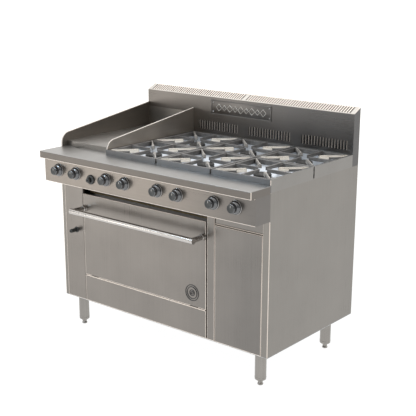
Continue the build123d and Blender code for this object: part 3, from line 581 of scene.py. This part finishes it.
def frame_of(node):
    """The four front edges of a folded panel."""
    (x0, y, z0), (x1, _, z1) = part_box(node)
    first = tucked(x0, y, z0, TO_RIGHT, BACK, UP)
    return [
        first,
        tucked(x1, y, z0, TO_LEFT, BACK, UP),
        tucked(x1, y, z1, TO_LEFT, BACK, DOWN),
        tucked(x0, y, z1, TO_RIGHT, BACK, DOWN),
        first,
    ]


def cabinet_edges():
    """Edges of the fixed sheets, for beads coloured as a painted highlight."""
    wide = (-half, half)
    corner_left = span("left_side_panel", X)[1]
    corner_right = span("right_side_panel", X)[0]
    paths = [
        along_x(wide, panel_face, panel_low, BACK, UP),
        along_x(wide, panel_face, ledge_low, FORWARD, DOWN),
        along_x(wide, ledge_face, ledge_low, BACK, UP),
        along_x(wide, cabinet_face, base_low, BACK, UP),
        frame_of("centre_post"),
    ]
    for side, inward in ((-half, TO_RIGHT), (half, TO_LEFT)):
        paths += [
            along_z(side, ledge_face, (ledge_low, ledge_top), BACK, inward),
            along_z(side, panel_face, (panel_low, ledge_low), BACK, inward),
            along_y(side, (panel_face, cabinet_face), panel_low, UP, inward),
            along_y(side, (ledge_face, cabinet_face), ledge_low, UP, inward),
            along_z(side, cabinet_face, (base_low, panel_low), BACK, inward),
            along_y(side, (cabinet_face, rear_face), side_top, DOWN, inward),
            along_y(side, (cabinet_face, rear_face), base_low, UP, inward),
            along_z(side, rear_face, (side_low, range_top), FORWARD, inward),
            along_z(side, splash_face, (side_top, cap_front), BACK, inward),
        ]
    for x in (corner_left, corner_right):
        paths.append(along_z(x, cabinet_face, (side_low, panel_low), BACK))
    paths += [
        along_z(half, cabinet_face, (ledge_top, cook_top), BACK, TO_LEFT),
        along_x(wide, splash_face, cap_front, BACK, DOWN),
        along_x(wide, rear_face, range_top, FORWARD, DOWN),
    ]
    for side, inward in ((-half, TO_RIGHT), (half, TO_LEFT)):
        paths.append([
            tucked(side, splash_face, cap_front, BACK, DOWN, inward),
            tucked(side, rear_face, range_top, FORWARD, DOWN, inward),
        ])
    return paths


def guard_rims():
    """The rolled tops of both splash guards, with their rounded front ends, for beads coloured as a painted
    highlight.
    """
    low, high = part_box("griddle_guard")
    front, rear = low[Y], high[Y]
    sheet = 3.0 * MM
    corner_rise, radius = 60.0 * MM, 50.0 * MM
    front_top = ledge_top + corner_rise
    slope = math.atan2(high[Z] - front_top, rear - front)
    tangent = radius * math.tan((math.pi / 2 - slope) / 2)
    centre = (front + radius, front_top - tangent)
    path = [(front, side_top + 4.0 * MM)]
    for step in range(13):
        angle = math.pi - (math.pi / 2 - slope) * step / 12
        path.append((centre[0] + radius * math.cos(angle), centre[1] + radius * math.sin(angle)))
    path.append((rear - 2.0 * MM, high[Z] - 2.0 * MM * math.tan(slope)))
    drawn = []
    for index, (y, z) in enumerate(path):
        before, after = path[max(0, index - 1)], path[min(len(path) - 1, index + 1)]
        along = Vector((after[0] - before[0], after[1] - before[1])).normalized()
        drawn.append((y + along.y * BEAD, z - along.x * BEAD))
    rims = []
    for x in (low[X] + RIM, high[X] - sheet / 2):
        rims.append([(x, y, z) for y, z in drawn])
    return rims


def bead_piece(name, paths, body, slot, finish, radius=BEAD, sides=10):
    """One bead piece along several lines."""
    return beads.bake(name, runs(name + "_lines", paths), body, slot, finish, radius=radius, sides=sides)


# painted highlight: cream beads along the sheet edges and the guard tops
bead_piece("rolled_edges", cabinet_edges(), "cabinet", "stainless_panel", "edge_steel")
bead_piece("guard_rims", guard_rims(), "cabinet", "stainless_top", "rim_steel", RIM)


def door_edges():
    """The front edges of the door, left open where the hinge brackets pass."""
    first, second, third, fourth, _ = frame_of("door_outer")
    clear = 3.0 * MM
    reach = [vert.co.x for vert in nodes["hinge_brackets"].data.vertices]
    centre = (min(reach) + max(reach)) / 2
    stops = [first[X]]
    for part in ([x for x in reach if x < centre], [x for x in reach if x > centre]):
        stops += [min(part) - clear, max(part) + clear]
    stops.append(second[X])
    paths = [[first, fourth, third, second]]
    for start, end in zip(stops[::2], stops[1::2]):
        paths.append([(start, first[Y], first[Z]), (end, first[Y], first[Z])])
    return paths


def panel_edges():
    """Painted highlights: cream beads on the edges of the door and of the two pull-off panels, and cream lips
    along their seams.
    """
    sheet = "stainless_panel"
    bead_piece("door_rolled_edge", door_edges(), "door", sheet, "edge_steel")
    bead_piece("kick_rolled_edge", [frame_of("kick_panel")], "kick", sheet, "edge_steel")
    bead_piece("service_rolled_edge", [frame_of("service_panel")], "service_door", sheet, "edge_steel")
    # painted highlight: a cream strip in the seam above the kick panel
    (left, front, _), (right, _, top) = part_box("kick_panel")
    seam = bmesh.new()
    side_gap = 4.0 * MM
    deep = (front + 1.6 * MM, front + 2.6 * MM)
    box_of(seam, (left + side_gap, right - side_gap), deep, (top - 2.0 * MM, top + 1.5 * MM))
    put("kick_seam_lip", plain(seam, "kick_seam_lip"), "kick", ("edge_steel",))
    # painted highlight: a cream bead along the service rail's lower front edge
    (left, front, bottom), (right, _, _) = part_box("service_rail")
    lip = along_x((left, right), front, bottom, FORWARD, UP)
    bead_piece("service_rail_lip", [lip], "cabinet", sheet, "edge_steel")


panel_edges()


# ---------------------------------------------------------------- trivets
def trivet_bar(mesh, centre, forward, along, widths, heights, material):
    """A straight bar along a direction from a centre; its width tapers from the first value to the second."""
    across = Vector((-forward.y, forward.x))
    (start, end), (start_wide, end_wide), (floor, roof) = along, widths, heights
    outline = []
    for place, wide in ((start, -start_wide), (end, -end_wide), (end, end_wide), (start, start_wide)):
        point = centre + forward * place + across * wide / 2
        outline.append((point.x, point.y))
    prism(mesh, outline, floor, roof, material)


def cast_trivet(name, x, y):
    """One trivet: a dark frame, four straight arms, four blades ending in pads; the blades' cream and mid-grey
    colours are painted light.
    """
    low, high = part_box(name)
    bottom, top = low[Z], high[Z]
    reach_x, reach_y = (high[X] - low[X]) / 2, (high[Y] - low[Y]) / 2
    bar = 12.0 * MM
    centre = Vector((x, y))
    iron, floor_grey_and_painted_lit_slot, painted_half_lit_slot = 0, 1, 2
    mesh = bmesh.new()
    corners = ((-1, -1), (1, -1), (1, 1), (-1, 1))
    for (a, b), (c, d) in zip(corners, corners[1:] + corners[:1]):
        outline = (
            (x + a * reach_x, y + b * reach_y),
            (x + c * reach_x, y + d * reach_y),
            (x + c * (reach_x - bar), y + d * (reach_y - bar)),
            (x + a * (reach_x - bar), y + b * (reach_y - bar)),
        )
        prism(mesh, outline, bottom, top - 2.0 * MM, iron)
    for turn, reach in ((0, reach_x), (90, reach_y), (180, reach_x), (270, reach_y)):
        forward = Vector((math.cos(math.radians(turn)), math.sin(math.radians(turn))))
        end = reach - bar / 2
        for along, widths, heights in (
            ((25.0 * MM, end), (7.0 * MM, 10.0 * MM), (top - 15.0 * MM, top)),
            ((reach - 30.0 * MM, end), (12.0 * MM, 14.0 * MM), (bottom + 2 * MM, top - 6.0 * MM)),
        ):
            trivet_bar(mesh, centre, forward, along, widths, heights, iron)
    end = math.hypot(reach_x, reach_y) - 16.0 * MM
    for a, b in corners:
        forward = Vector((a * reach_x, b * reach_y)).normalized()
        # painted light: blades along one diagonal are cream as if lit, the other two a dimmer grey as if half
        # in shade
        shine = floor_grey_and_painted_lit_slot if a == b else painted_half_lit_slot
        for along, widths, heights, material in (
            ((66.0 * MM, 110.0 * MM), (14.0 * MM, 14.0 * MM), (top - 17.0 * MM, top - 3.0 * MM), shine),
            ((68.0 * MM, end), (8.0 * MM, 6.0 * MM), (top - 15.0 * MM, top), shine),
            ((104.0 * MM, end), (10.0 * MM, 8.0 * MM), (bottom + 4.0 * MM, top - 8.0 * MM), iron),
        ):
            trivet_bar(mesh, centre, forward, along, widths, heights, material)
    return softened(mesh, name + "_cast", 1.2 * MM)


for name, (x, y) in trivet_places.items():
    mesh = cast_trivet(name, x, y)
    put(name + "_cast", mesh, name, ("trivet_iron", "trivet_ground", "trivet_worn"), (name,))


# ---------------------------------------------------------------- burners
def burners():
    """Cap and ported head of each burner."""
    caps = bmesh.new()
    heads = bmesh.new()
    cap_low = span("burner_caps", Z)[0]
    for x, y in trivet_places.values():
        turned(caps, [
            (0.0, 0.0), (37.0, 0.0), (38.0, 1.5), (38.0, 5.0), (35.5, 8.0), (24.0, 9.2), (21.5, 8.6),
            (19.0, 9.3), (0.0, 10.0),
        ], (x, y, cap_low), UP)
        turned(heads, [
            (0.0, 1.0), (51.0, 1.0), (52.0, 2.5), (48.0, 5.0), (37.0, 6.5), (36.6, 14.0), (35.0, 15.9),
            (0.0, 15.9),
        ], (x, y, cap_low - 16.0 * MM), UP)
    tops = plain(caps, "burner_cap_tops")
    put("burner_cap_tops", tops, "cabinet", ("black_iron",), ("burner_caps",))
    put("burner_head_rings", plain(heads, "burner_head_rings"), "cabinet", ("burner_cast",))
    port = bmesh.new()
    box_of(port, (-1.2 * MM, 1.2 * MM), (-1.6 * MM, 1.6 * MM), (-3.2 * MM, 3.2 * MM))
    start = spots("port_rings", [(x, y, cap_low - 4.5 * MM) for x, y in trivet_places.values()])
    part = small_part(port, "port")
    rings.bake("burner_ports", start, "cabinet", "burner_iron", "black_iron",
               count=36, radius=36.2 * MM, part=part)


burners()


# ---------------------------------------------------------------- knobs and igniters
def gas_knob(name):
    """A black gas knob: steel collar, stepped skirt, fluted grip and a dished face."""
    x, z = middle(name, X, Z)
    front = span(name, Y)[0]
    place = (x, panel_face - 0.8 * MM, z)
    length = (place[Y] - front) / MM
    gloss, face_black, steel = 0, 1, 2
    mesh = bmesh.new()
    turned(mesh, [
        (0.0, 0.0), (29.0, 0.0), (30.0, 0.8), (30.0, 2.4), (28.6, 3.2), (0.0, 3.2),
    ], place, FORWARD, 56, steel)
    turned(mesh, [
        (0.0, 3.0), (27.6, 3.0), (28.4, 4.4), (28.4, 6.4), (27.4, 9.4), (25.4, 12.2), (22.8, 14.4),
        (19.8, 16.0), (18.6, 18.0), (18.8, 24.0), (19.4, length - 6.0), (19.2, length - 3.4),
        (18.2, length - 1.6), (16.4, length - 0.6),
    ], place, FORWARD, 56, gloss)
    turned(mesh, [
        (0.0, length - 6.0), (16.4, length - 6.0), (16.8, length - 0.4), (15.4, length),
        (14.4, length - 0.6), (0.0, length - 1.2),
    ], place, FORWARD, 48, face_black)
    for turn in range(24):
        angle = 2 * math.pi * (turn + 0.5) / 24
        if abs(math.sin(angle)) > 0.97 and math.sin(angle) > 0:
            continue
        foot = Vector((x + 18.6 * MM * math.cos(angle), front + 17.0 * MM, z + 18.6 * MM * math.sin(angle)))
        turned(mesh, [
            (0.0, 0.0), (1.1, 0.4), (1.3, 3.0), (1.3, 12.0), (0.0, 14.0),
        ], foot, FORWARD, 6, gloss)
    pointer = bmesh.ops.create_cube(mesh, size=1.0)["verts"]
    for vert in pointer:
        across, deep, up = vert.co * MM
        vert.co = Vector((x + across * 2.4, front + 1.4 * MM + deep * 1.6, z + 9.0 * MM + up * 9.0))
    for face in {face for vert in pointer for face in vert.link_faces}:
        face.material_index = steel
    made = plain(mesh, name + "_turned")
    return put(name + "_turned", made, name, ("knob_gloss", "knob_face", "collar_steel"), (name,))


for name in knob_names:
    gas_knob(name)


def igniter(name, radius, reach, tilt):
    """A push button: a cap with a rounded rim and a slanting finger bar."""
    x, z = middle(name, X, Z)
    front = span(name, Y)[0]
    button = radius - 0.4 * MM
    wide, long = button / MM, reach / MM
    mesh = bmesh.new()
    turned(mesh, [
        (0.0, 0.0), (wide, 0.0), (wide, long - 3.0), (wide - 1.0, long - 0.8), (wide * 0.6, long), (0.0, long),
    ], (x, front + reach, z), FORWARD, 36, 0)
    bar = bmesh.new()
    box_of(bar, (-button * 0.86, button * 0.86), (-2.6 * MM, 2.6 * MM), (0.0, 3.6 * MM))
    bmesh.ops.rotate(bar, verts=bar.verts, cent=(0, 0, 0), matrix=Matrix.Rotation(tilt, 3, "Z"))
    bmesh.ops.rotate(bar, verts=bar.verts, cent=(0, 0, 0), matrix=Matrix.Rotation(math.pi / 2, 3, "X"))
    bmesh.ops.translate(bar, verts=bar.verts, vec=(x, front + 3.6 * MM, z))
    bar_mesh = softened(bar, "bar", 0.8 * MM)
    mesh.from_mesh(bar_mesh)
    made = plain(mesh, name + "_cap")
    return put(name + "_cap", made, name, ("knob_face",), (name,))


for name, reach, tilt in (("hob_igniter_button", 14.0, 35.0), ("oven_igniter_button", 34.0, 20.0)):
    low, high = span(name, X)
    igniter(name, (high - low) / 2, reach * MM, math.radians(tilt))


def rosettes():
    """The collars that the two igniter buttons slide in."""
    mesh = bmesh.new()
    for button, face, radius, thick in (
        ("hob_igniter_button", panel_face, 22.0, 8.0),
        ("oven_igniter_button", cabinet_face, 14.0, 4.0),
    ):
        x, z = middle(button, X, Z)
        low, high = span(button, X)
        bore = (high - low) / 2 / MM
        turned(mesh, [
            (bore, -20.0), (bore + 1.6, -20.0), (bore + 1.6, -0.2), (radius, 0.0), (radius, thick * 0.45),
            (radius - 1.2, thick * 0.8), (radius - 3.0, thick), (bore + 0.6, thick), (bore, thick - 0.6),
            (bore, -20.0),
        ], (x, face, z), FORWARD, 44, 0)
    bmesh.ops.remove_doubles(mesh, verts=mesh.verts, dist=0.01 * MM)
    bmesh.ops.recalc_face_normals(mesh, faces=mesh.faces)
    made = plain(mesh, "igniter_rosettes")
    put("igniter_rosettes", made, "cabinet", ("knob_face",), ("igniter_bezels",))


rosettes()


# ---------------------------------------------------------------- splashback details
def cross_screw(mesh, radius, height):
    """A domed screw head with a cross recess, pointing up. Its sizes are in mm."""
    turned(mesh, [
        (0.0, 0.0), (radius, 0.0), (radius, height * 0.3), (radius * 0.8, height * 0.75),
        (radius * 0.4, height), (0.0, height),
    ], (0, 0, 0), UP, 14, 0)
    for wide, deep in ((radius * 0.55, radius * 0.12), (radius * 0.12, radius * 0.55)):
        wide, deep = wide * MM, deep * MM
        box_of(mesh, (-wide, wide), (-deep, deep), (height * 0.9 * MM, height * 1.02 * MM), 0)


def faced(mesh, direction):
    """Turn an upright small part so that it points along a direction."""
    turn = Vector((0, 0, 1)).rotation_difference(Vector(direction)).to_matrix()
    bmesh.ops.rotate(mesh, verts=mesh.verts, cent=(0, 0, 0), matrix=turn)
    return mesh


def screw_heads():
    """Screws of the name plate and of the back panel."""
    plate_low, plate_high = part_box("name_plate")
    inset = 12.0 * MM
    front_points = []
    for x in (plate_low[X] + inset, plate_high[X] - inset):
        for z in (plate_low[Z] + inset, plate_high[Z] - inset):
            front_points.append((x, plate_high[Y] - 1.5 * MM, z))
    head = bmesh.new()
    cross_screw(head, 3.8, 2.2)
    part = small_part(faced(head, FORWARD), "plate_screw")
    rows.bake("name_plate_screws", spots("plate_screw_spots", front_points), "cabinet", "pipe_steel",
              "collar_steel", count=1, step=(0.0, 0.0, 0.0), part=part)
    back_y = span("back_panel", Y)[0] + 2.0 * MM
    edge = half - 45.0 * MM
    points = []
    for z in (side_low + 30.0 * MM, side_top - 30.0 * MM):
        points.append((-edge, back_y, z))
    head = bmesh.new()
    cross_screw(head, 4.0, 2.4)
    part = small_part(faced(head, BACK), "panel_screw")
    rows.bake("back_panel_screws", spots("panel_screw_spots", points), "cabinet", "pipe_steel",
              "collar_steel", ("screws",), count=7, step=(edge / 3, 0.0, 0.0), part=part)


screw_heads()


def slot_lips():
    """The pierced slots: a bright lip down one side of each, its cream colour a painted highlight."""
    slot, pitch, tall, count = 6.5 * MM, 15.5 * MM, 42.0 * MM, 16
    middle_z = cook_top + 38.0 * MM
    lip = bmesh.new()
    box_of(lip, (0.0, 1.1 * MM), (-0.5 * MM, 0.6 * MM), (-tall / 2, tall / 2))
    firsts = []
    centres = sorted({round(x, 5) for x, _ in trivet_places.values()})
    module = centres[1] - centres[0]
    for n in range(3):
        x = hob_left + module * (n + 0.5)
        first_x = x - pitch * (count - 1) / 2 + slot / 2 - 0.1 * MM
        firsts.append((first_x, splash_face, middle_z))
    rows.bake("slot_lips", spots("slot_lip_spots", firsts), "cabinet", "stainless_top",
              "edge_steel", count=count, step=(pitch, 0.0, 0.0), part=small_part(lip, "lip"))


slot_lips()


def flue_lining():
    """Painted shade: a near-black lining inside the flue, behind the slots."""
    mesh = bmesh.new()
    gap = 2.6 * MM
    flue_ends = (-half + gap, half - gap - 0.6 * MM)
    slots_low, slots_high = cook_top + 16.0 * MM, cook_top + 60.0 * MM
    inner = (-half + gap, half - gap)
    back = (rear_face - gap, rear_face - gap + 0.6 * MM)
    front = (splash_face + 1.9 * MM, splash_face + 2.4 * MM)
    box_of(mesh, inner, back, (side_top, range_top - 2.6 * MM))
    for start in flue_ends:
        box_of(mesh, (start, start + 0.6 * MM), (front[0], back[0]), (side_top, cap_front - 4.0 * MM))
    box_of(mesh, inner, front, (side_top, slots_low))
    box_of(mesh, inner, front, (slots_high, cap_front - 3.4 * MM))
    put("flue_lining", plain(mesh, "flue_lining"), "cabinet", ("soot",))


flue_lining()


def slatted_cap():
    """The sloping flue cap: narrow slats, cream as a painted highlight, with open slots between them."""
    pitch, slot, sheet_deep = 13.5 * MM, 6.5 * MM, 0.8 * MM
    end, middle_gap, border = 18.0 * MM, 12.0 * MM, 4.0 * MM
    front_high, rear_high = cap_front - 0.5 * MM, range_top
    rise = (rear_high - front_high) / (rear_face - splash_face)
    run = half - end - middle_gap / 2
    count = int(run // pitch)

    def sloped(mesh, x, y):
        """A plate lying in the slope between two sides and two depths."""
        made = box_of(mesh, x, y, (-sheet_deep, 0.0))
        for vert in {vert for face in made for vert in face.verts}:
            vert.co.z += front_high + (vert.co.y - splash_face) * rise

    mesh = bmesh.new()
    sloped(mesh, (-half, half), (splash_face, splash_face + border))
    sloped(mesh, (-half, half), (rear_face - border, rear_face))
    inner = (splash_face + border, rear_face - border)
    first_slots = []
    for side in (-1, 1):
        centre = side * (middle_gap / 2 + run / 2)
        low = centre - pitch * (count - 1) / 2 - slot / 2
        high = centre + pitch * (count - 1) / 2 + slot / 2
        first_slots.append((low, high))
    (left_low, left_high), (right_low, right_high) = first_slots
    sloped(mesh, (-half, left_low), inner)
    sloped(mesh, (left_high, right_low), inner)
    sloped(mesh, (right_high, half), inner)
    made = plain(mesh, "flue_cap_border")
    put("flue_cap_border", made, "cabinet", ("cap_steel",), ("flue_cap",))
    slat = bmesh.new()
    sloped(slat, (0.0, pitch - slot), inner)
    starts = [(low + slot, 0.0, 0.0) for low in (left_low, right_low)]
    rows.bake("flue_cap_slats", spots("flue_slat_spots", starts), "cabinet", "stainless_top",
              "edge_steel", count=count - 1, step=(pitch, 0.0, 0.0), part=small_part(slat, "slat"))


slatted_cap()


def name_plate():
    """A bordered plate with a plain row of pressed lozenges and no lettering."""
    low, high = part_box("name_plate")
    y = high[Y]
    mesh = bmesh.new()
    rim = 4.0 * MM
    outer = (low[X], high[X], low[Z], high[Z])
    for x, z in (
        ((outer[0], outer[0] + rim), (outer[2], outer[3])),
        ((outer[1] - rim, outer[1]), (outer[2], outer[3])),
        ((outer[0], outer[1]), (outer[2], outer[2] + rim)),
        ((outer[0], outer[1]), (outer[3] - rim, outer[3])),
    ):
        box_of(mesh, x, (low[Y], y), z, 0)
    field = (outer[0] + rim, outer[1] - rim)
    box_of(mesh, field, (y - 1.4 * MM, y), (outer[2] + rim, outer[3] - rim), 1)
    made = softened(mesh, "name_plate_pressed", 0.6 * MM)
    put("name_plate_pressed", made, "cabinet", ("plate_field", "back_steel"), ("name_plate",))
    bosses = []
    pitch, count = 33.0 * MM, 9
    middle_x, middle_z = (outer[0] + outer[1]) / 2, (outer[2] + outer[3]) / 2
    for n in range(count):
        centre = middle_x + (n - (count - 1) / 2) * pitch
        reach = (13.0 if n % 2 else 17.0) * MM
        first = (centre - reach, y - 1.6 * MM, middle_z)
        bosses.append([
            first, (centre, y - 1.6 * MM, middle_z - reach), (centre + reach, y - 1.6 * MM, middle_z),
            (centre, y - 1.6 * MM, middle_z + reach), first,
        ])
    bead_piece("name_plate_lozenges", bosses, "cabinet", "stainless_top", "plate_boss", 1.3 * MM, 8)
    # painted highlight: a cream bead round the plate's edge
    corner = (outer[0] + BEAD, y - 2.0 * MM, outer[2] + BEAD)
    outline = [
        corner, (outer[1] - BEAD, corner[1], corner[2]), (outer[1] - BEAD, corner[1], outer[3] - BEAD),
        (corner[0], corner[1], outer[3] - BEAD), corner,
    ]
    bead_piece("name_plate_outline", [outline], "cabinet", "stainless_top", "edge_steel", 1.0 * MM, 8)


name_plate()


def door_roundel():
    """Plain rings in dark "enamel" on the door."""
    x, z = middle("door_emblem", X, Z)
    y = span("door_emblem", Y)[1] - 0.6 * MM
    paths = []
    for radius in (35.8 * MM, 27.0 * MM, 13.0 * MM, 6.0 * MM):
        ring = []
        for step in range(64):
            angle = 2 * math.pi * step / 64
            ring.append((x + radius * math.cos(angle), y, z + radius * math.sin(angle)))
        paths.append(ring + [ring[0]])
    piece = bead_piece("door_roundel", paths, "door", "emblem", "emblem_dark", 1.9 * MM, 10)
    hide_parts("door_emblem")


door_roundel()


# ---------------------------------------------------------------- handle, legs, louvres, oven
def handle_ends():
    """Domed end plugs in the handle tube and stepped collars where its arms meet the door."""
    z = middle("door_handle", Z)[0]
    axis_y = span("door_handle", Y)[0] + 13.0 * MM
    mesh = bmesh.new()
    for x, direction in ((door_left, TO_LEFT), (door_right, TO_RIGHT)):
        start = (x - direction[0] * 9.0 * MM, axis_y, z)
        turned(mesh, [
            (0.0, 0.0), (11.4, 0.0), (11.4, 7.6), (9.0, 8.6), (0.0, 9.0),
        ], start, direction, 36)
        arm_x = x - direction[0] * 13.0 * MM
        turned(mesh, [
            (12.2, 0.0), (16.0, 0.0), (16.0, 3.0), (14.6, 5.0), (14.2, 14.0), (13.4, 17.0), (12.2, 18.0),
        ], (arm_x, cabinet_face, z), FORWARD, 36)
    put("handle_fittings", plain(mesh, "handle_fittings"), "door", ("tube_steel",))


handle_ends()


def leg_fittings():
    """Flanges at the tops of the legs, and a groove ring near each lower end."""
    mesh = bmesh.new()
    low_z, high_z = span("legs", Z)
    for name in foot_names:
        x, y = middle(name, X, Y)
        turned(mesh, [
            (25.2, -6.0), (27.0, -6.0), (34.0, -2.0), (34.0, -0.1), (25.2, -0.1),
        ], (x, y, high_z), UP, 40)
        turned(mesh, [
            (24.0, 0.0), (25.5, 0.4), (25.5, 2.2), (24.0, 2.6),
        ], (x, y, low_z + 12.0 * MM), UP, 40)
    put("leg_fittings", plain(mesh, "leg_fittings"), "cabinet", ("leg_steel",))
    for name in foot_names:
        x, y = middle(name, X, Y)
        roof = span(name, Z)[1] / MM
        foot = bmesh.new()
        turned(foot, [
            (0.0, 0.0), (11.0, 0.0), (12.5, 1.5), (12.5, 6.0), (11.0, 7.5), (9.4, 8.0), (9.4, 9.5),
            (8.8, 10.0), (8.8, 20.5), (7.8, 21.5), (7.8, roof), (0.0, roof),
        ], (x, y, 0.0), UP, 32)
        spanner = []
        for side in range(6):
            angle = math.radians(60 * side)
            spanner.append((x + 12.0 * MM * math.cos(angle), y + 12.0 * MM * math.sin(angle)))
        prism(foot, spanner, 13.0 * MM, 21.0 * MM)
        put(name + "_turned", plain(foot, name + "_turned"), name, ("leg_steel",), (name,))


leg_fittings()


def louvres():
    """Pressed hoods over the ventilation slots in the back panel."""
    long, hood = 84.0 * MM, 9.0 * MM
    mesh = bmesh.new()
    steps = 8
    ends = []
    for x in (-long / 2, long / 2):
        ring = []
        for step in range(steps + 1):
            angle = math.pi / 2 * step / steps
            ring.append(mesh.verts.new((x, hood * 0.75 * math.sin(angle), hood * math.cos(angle))))
        ends.append(ring + [mesh.verts.new((x, 0.0, 0.0))])
    count = len(ends[0])
    for n in range(count - 1):
        mesh.faces.new((ends[0][n], ends[1][n], ends[1][n + 1], ends[0][n + 1]))
    mesh.faces.new((ends[0][count - 1], ends[1][count - 1], ends[1][0], ends[0][0]))
    mesh.faces.new(ends[0][::-1])
    mesh.faces.new(ends[1])
    bmesh.ops.recalc_face_normals(mesh, faces=mesh.faces)
    back_y = span("back_panel", Y)[0] + 2.0 * MM
    first_z = side_low + 106.0 * MM
    module = 2 * half / 4
    firsts = [(-half + module * (n + 0.5), back_y - 0.2 * MM, first_z) for n in range(4)]
    rows.bake("back_louvres", spots("louvre_spots", firsts), "cabinet", "galvanised",
              "zinc", count=5, step=(0.0, 0.0, 30.0 * MM), part=small_part(mesh, "hood"))


louvres()


def door_inside():
    """The door's inner face: a pressed panel with screws round it."""
    low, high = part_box("door_inner")
    y = high[Y]
    mesh = bmesh.new()
    inset = 64.0 * MM
    wide, tall = (low[X] + inset, high[X] - inset), (low[Z] + inset, high[Z] - inset)
    box_of(mesh, wide, (y - 1.0 * MM, y + 2.4 * MM), tall)
    made = softened(mesh, "door_inner_pressing", 2.0 * MM, 3)
    put("door_inner_pressing", made, "door", ("enamel",))
    head = bmesh.new()
    cross_screw(head, 4.0, 2.0)
    edge = 44.0 * MM
    run = (high[X] - low[X] - 2 * edge) / 5
    points = [(low[X] + edge, y, z) for z in (low[Z] + edge, high[Z] - edge)]
    rows.bake("door_inner_screws", spots("door_screw_spots", points), "door", "pipe_steel",
              "collar_steel", count=6, step=(run, 0.0, 0.0), part=small_part(faced(head, BACK), "door_screw"))
    (left, front, bottom), (right, rear, top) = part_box("door_gasket")
    inset = 4.5 * MM
    y = (front + rear) / 2
    left, right, bottom, top = left + inset, right - inset, bottom + inset, top - inset
    loop = [(left, y, bottom), (right, y, bottom), (right, y, top), (left, y, top), (left, y, bottom)]
    bead_piece("door_seal_rope", [loop], "door", "gasket", "seal_rubber", 2.2 * MM, 12)


door_inside()


# ---------------------------------------------------------------- floor, light, camera
def studio_floor():
    """A wide pale floor, lit from within so that only a faint shadow shows on it."""
    reach = 60.0
    mesh = bpy.data.meshes.new("studio_floor")
    corners = [(-reach, -reach, 0), (reach, -reach, 0), (reach, reach, 0), (-reach, reach, 0)]
    mesh.from_pydata(corners, [], [(0, 1, 2, 3)])
    floor = bpy.data.objects.new("studio_floor", mesh)
    bpy.context.scene.collection.objects.link(floor)
    glow_strength, floor_grey_and_painted_lit_slot = 1.34, 0.09
    paint = Finish("floor_paint", roughness=0.95, emission_strength=glow_strength)
    paint.surface.inputs["Base Color"].default_value = rgba(floor_grey_and_painted_lit_slot, floor_grey_and_painted_lit_slot, floor_grey_and_painted_lit_slot)
    across = paint.node("ShaderNodeSeparateXYZ", None, {"Vector": paint.place}, output="X")
    # painted light: the floor's glow is brighter towards the left, so the steel reflects a brighter floor there
    glow = paint.blend(paint.remap(across, -2.6, -0.3), rgba(0.88, 0.865, 0.845), rgba(0.72, 0.72, 0.72))
    paint.feed(emission_color=glow)
    paint.surface.inputs["Specular IOR Level"].default_value = 0.0
    mesh.materials.append(paint.material)


def soft_light(name, place, aim, size, power, tint=(1.0, 1.0, 1.0)):
    """A rectangular light aimed at a point: its sides in metres, its power in watts."""
    lamp = bpy.data.lights.new(name, "AREA")
    lamp.shape = "RECTANGLE"
    lamp.size, lamp.size_y = size
    lamp.energy = power
    lamp.color = tint
    holder = bpy.data.objects.new(name, lamp)
    holder.location = place
    holder.rotation_euler = (Vector(aim) - Vector(place)).to_track_quat("-Z", "Y").to_euler()
    bpy.context.scene.collection.objects.link(holder)


def studio_world():
    """White behind the range; for its reflections, a bright ceiling and back and a dimmer front."""
    world = bpy.data.worlds.new("studio")
    world.use_nodes = True
    tree = world.node_tree
    tree.nodes.clear()

    direction = add_node(tree, "ShaderNodeTexCoord", output="Generated")
    split = tree.nodes.new("ShaderNodeSeparateXYZ")
    tree.links.new(direction, split.inputs[0])

    # each line: the axis looked along, where the light starts and where it is full, and how bright it gets
    ambient, backdrop = 0.35, 1.05
    total = ambient
    for axis, first, last, most in (("Z", 0.25, 0.95, 1.25), ("Y", 0.0, 0.9, 0.7), ("X", 0.1, -0.9, 0.2)):
        ramp = {0: split.outputs[axis], 1: first, 2: last, 3: 0.0, 4: most}
        part = add_node(tree, "ShaderNodeMapRange", {"interpolation_type": "SMOOTHSTEP"}, ramp)
        total = add_node(tree, "ShaderNodeMath", {"operation": "ADD"}, {0: total, 1: part})
    seen = add_node(tree, "ShaderNodeLightPath", output="Is Camera Ray")
    shown = add_node(tree, "ShaderNodeMix", {"data_type": "FLOAT"}, {0: seen, 2: total, 3: backdrop})
    light = {"Color": rgba(1.0, 0.99, 0.98), "Strength": shown}
    background = add_node(tree, "ShaderNodeBackground", None, light)
    output = tree.nodes.new("ShaderNodeOutputWorld")
    tree.links.new(background, output.inputs["Surface"])
    bpy.context.scene.world = world


def studio_camera():
    """The camera, at the height and angle from which the range is usually shown."""
    azimuth, elevation = math.radians(39.882), math.radians(16.244)
    target = Vector((-3.851, 32.291, 551.34)) * MM
    distance = 4.38205
    back = Vector((
        math.sin(azimuth) * math.cos(elevation),
        -math.cos(azimuth) * math.cos(elevation),
        math.sin(elevation),
    ))
    data = bpy.data.cameras.new("camera")
    data.sensor_width = 36.0
    data.lens = 81.44
    data.shift_x = 0.02104
    data.shift_y = 0.0409
    data.clip_end = 200.0
    camera = bpy.data.objects.new("camera", data)
    camera.location = target + back * distance
    camera.rotation_euler = (-back).to_track_quat("-Z", "Y").to_euler()
    bpy.context.scene.collection.objects.link(camera)
    bpy.context.scene.camera = camera


studio_floor()
studio_world()
soft_light("overhead", (0.4, -0.9, 3.6), (0, 0, 0.9), (1.1, 0.8), 18, (0.80, 0.90, 1.0))
soft_light("front_glint", (-1.15, -2.0, 2.3), (0.0, -0.4, 0.8), (0.50, 0.50), 12.0, (0.62, 0.82, 1.0))
soft_light("left_strip", (-2.6, -3.0, 1.0), (0, 0, 0.4), (0.35, 1.8), 7, (1.0, 0.97, 0.93))
studio_camera()
bpy.context.scene.view_settings.view_transform = "Standard"
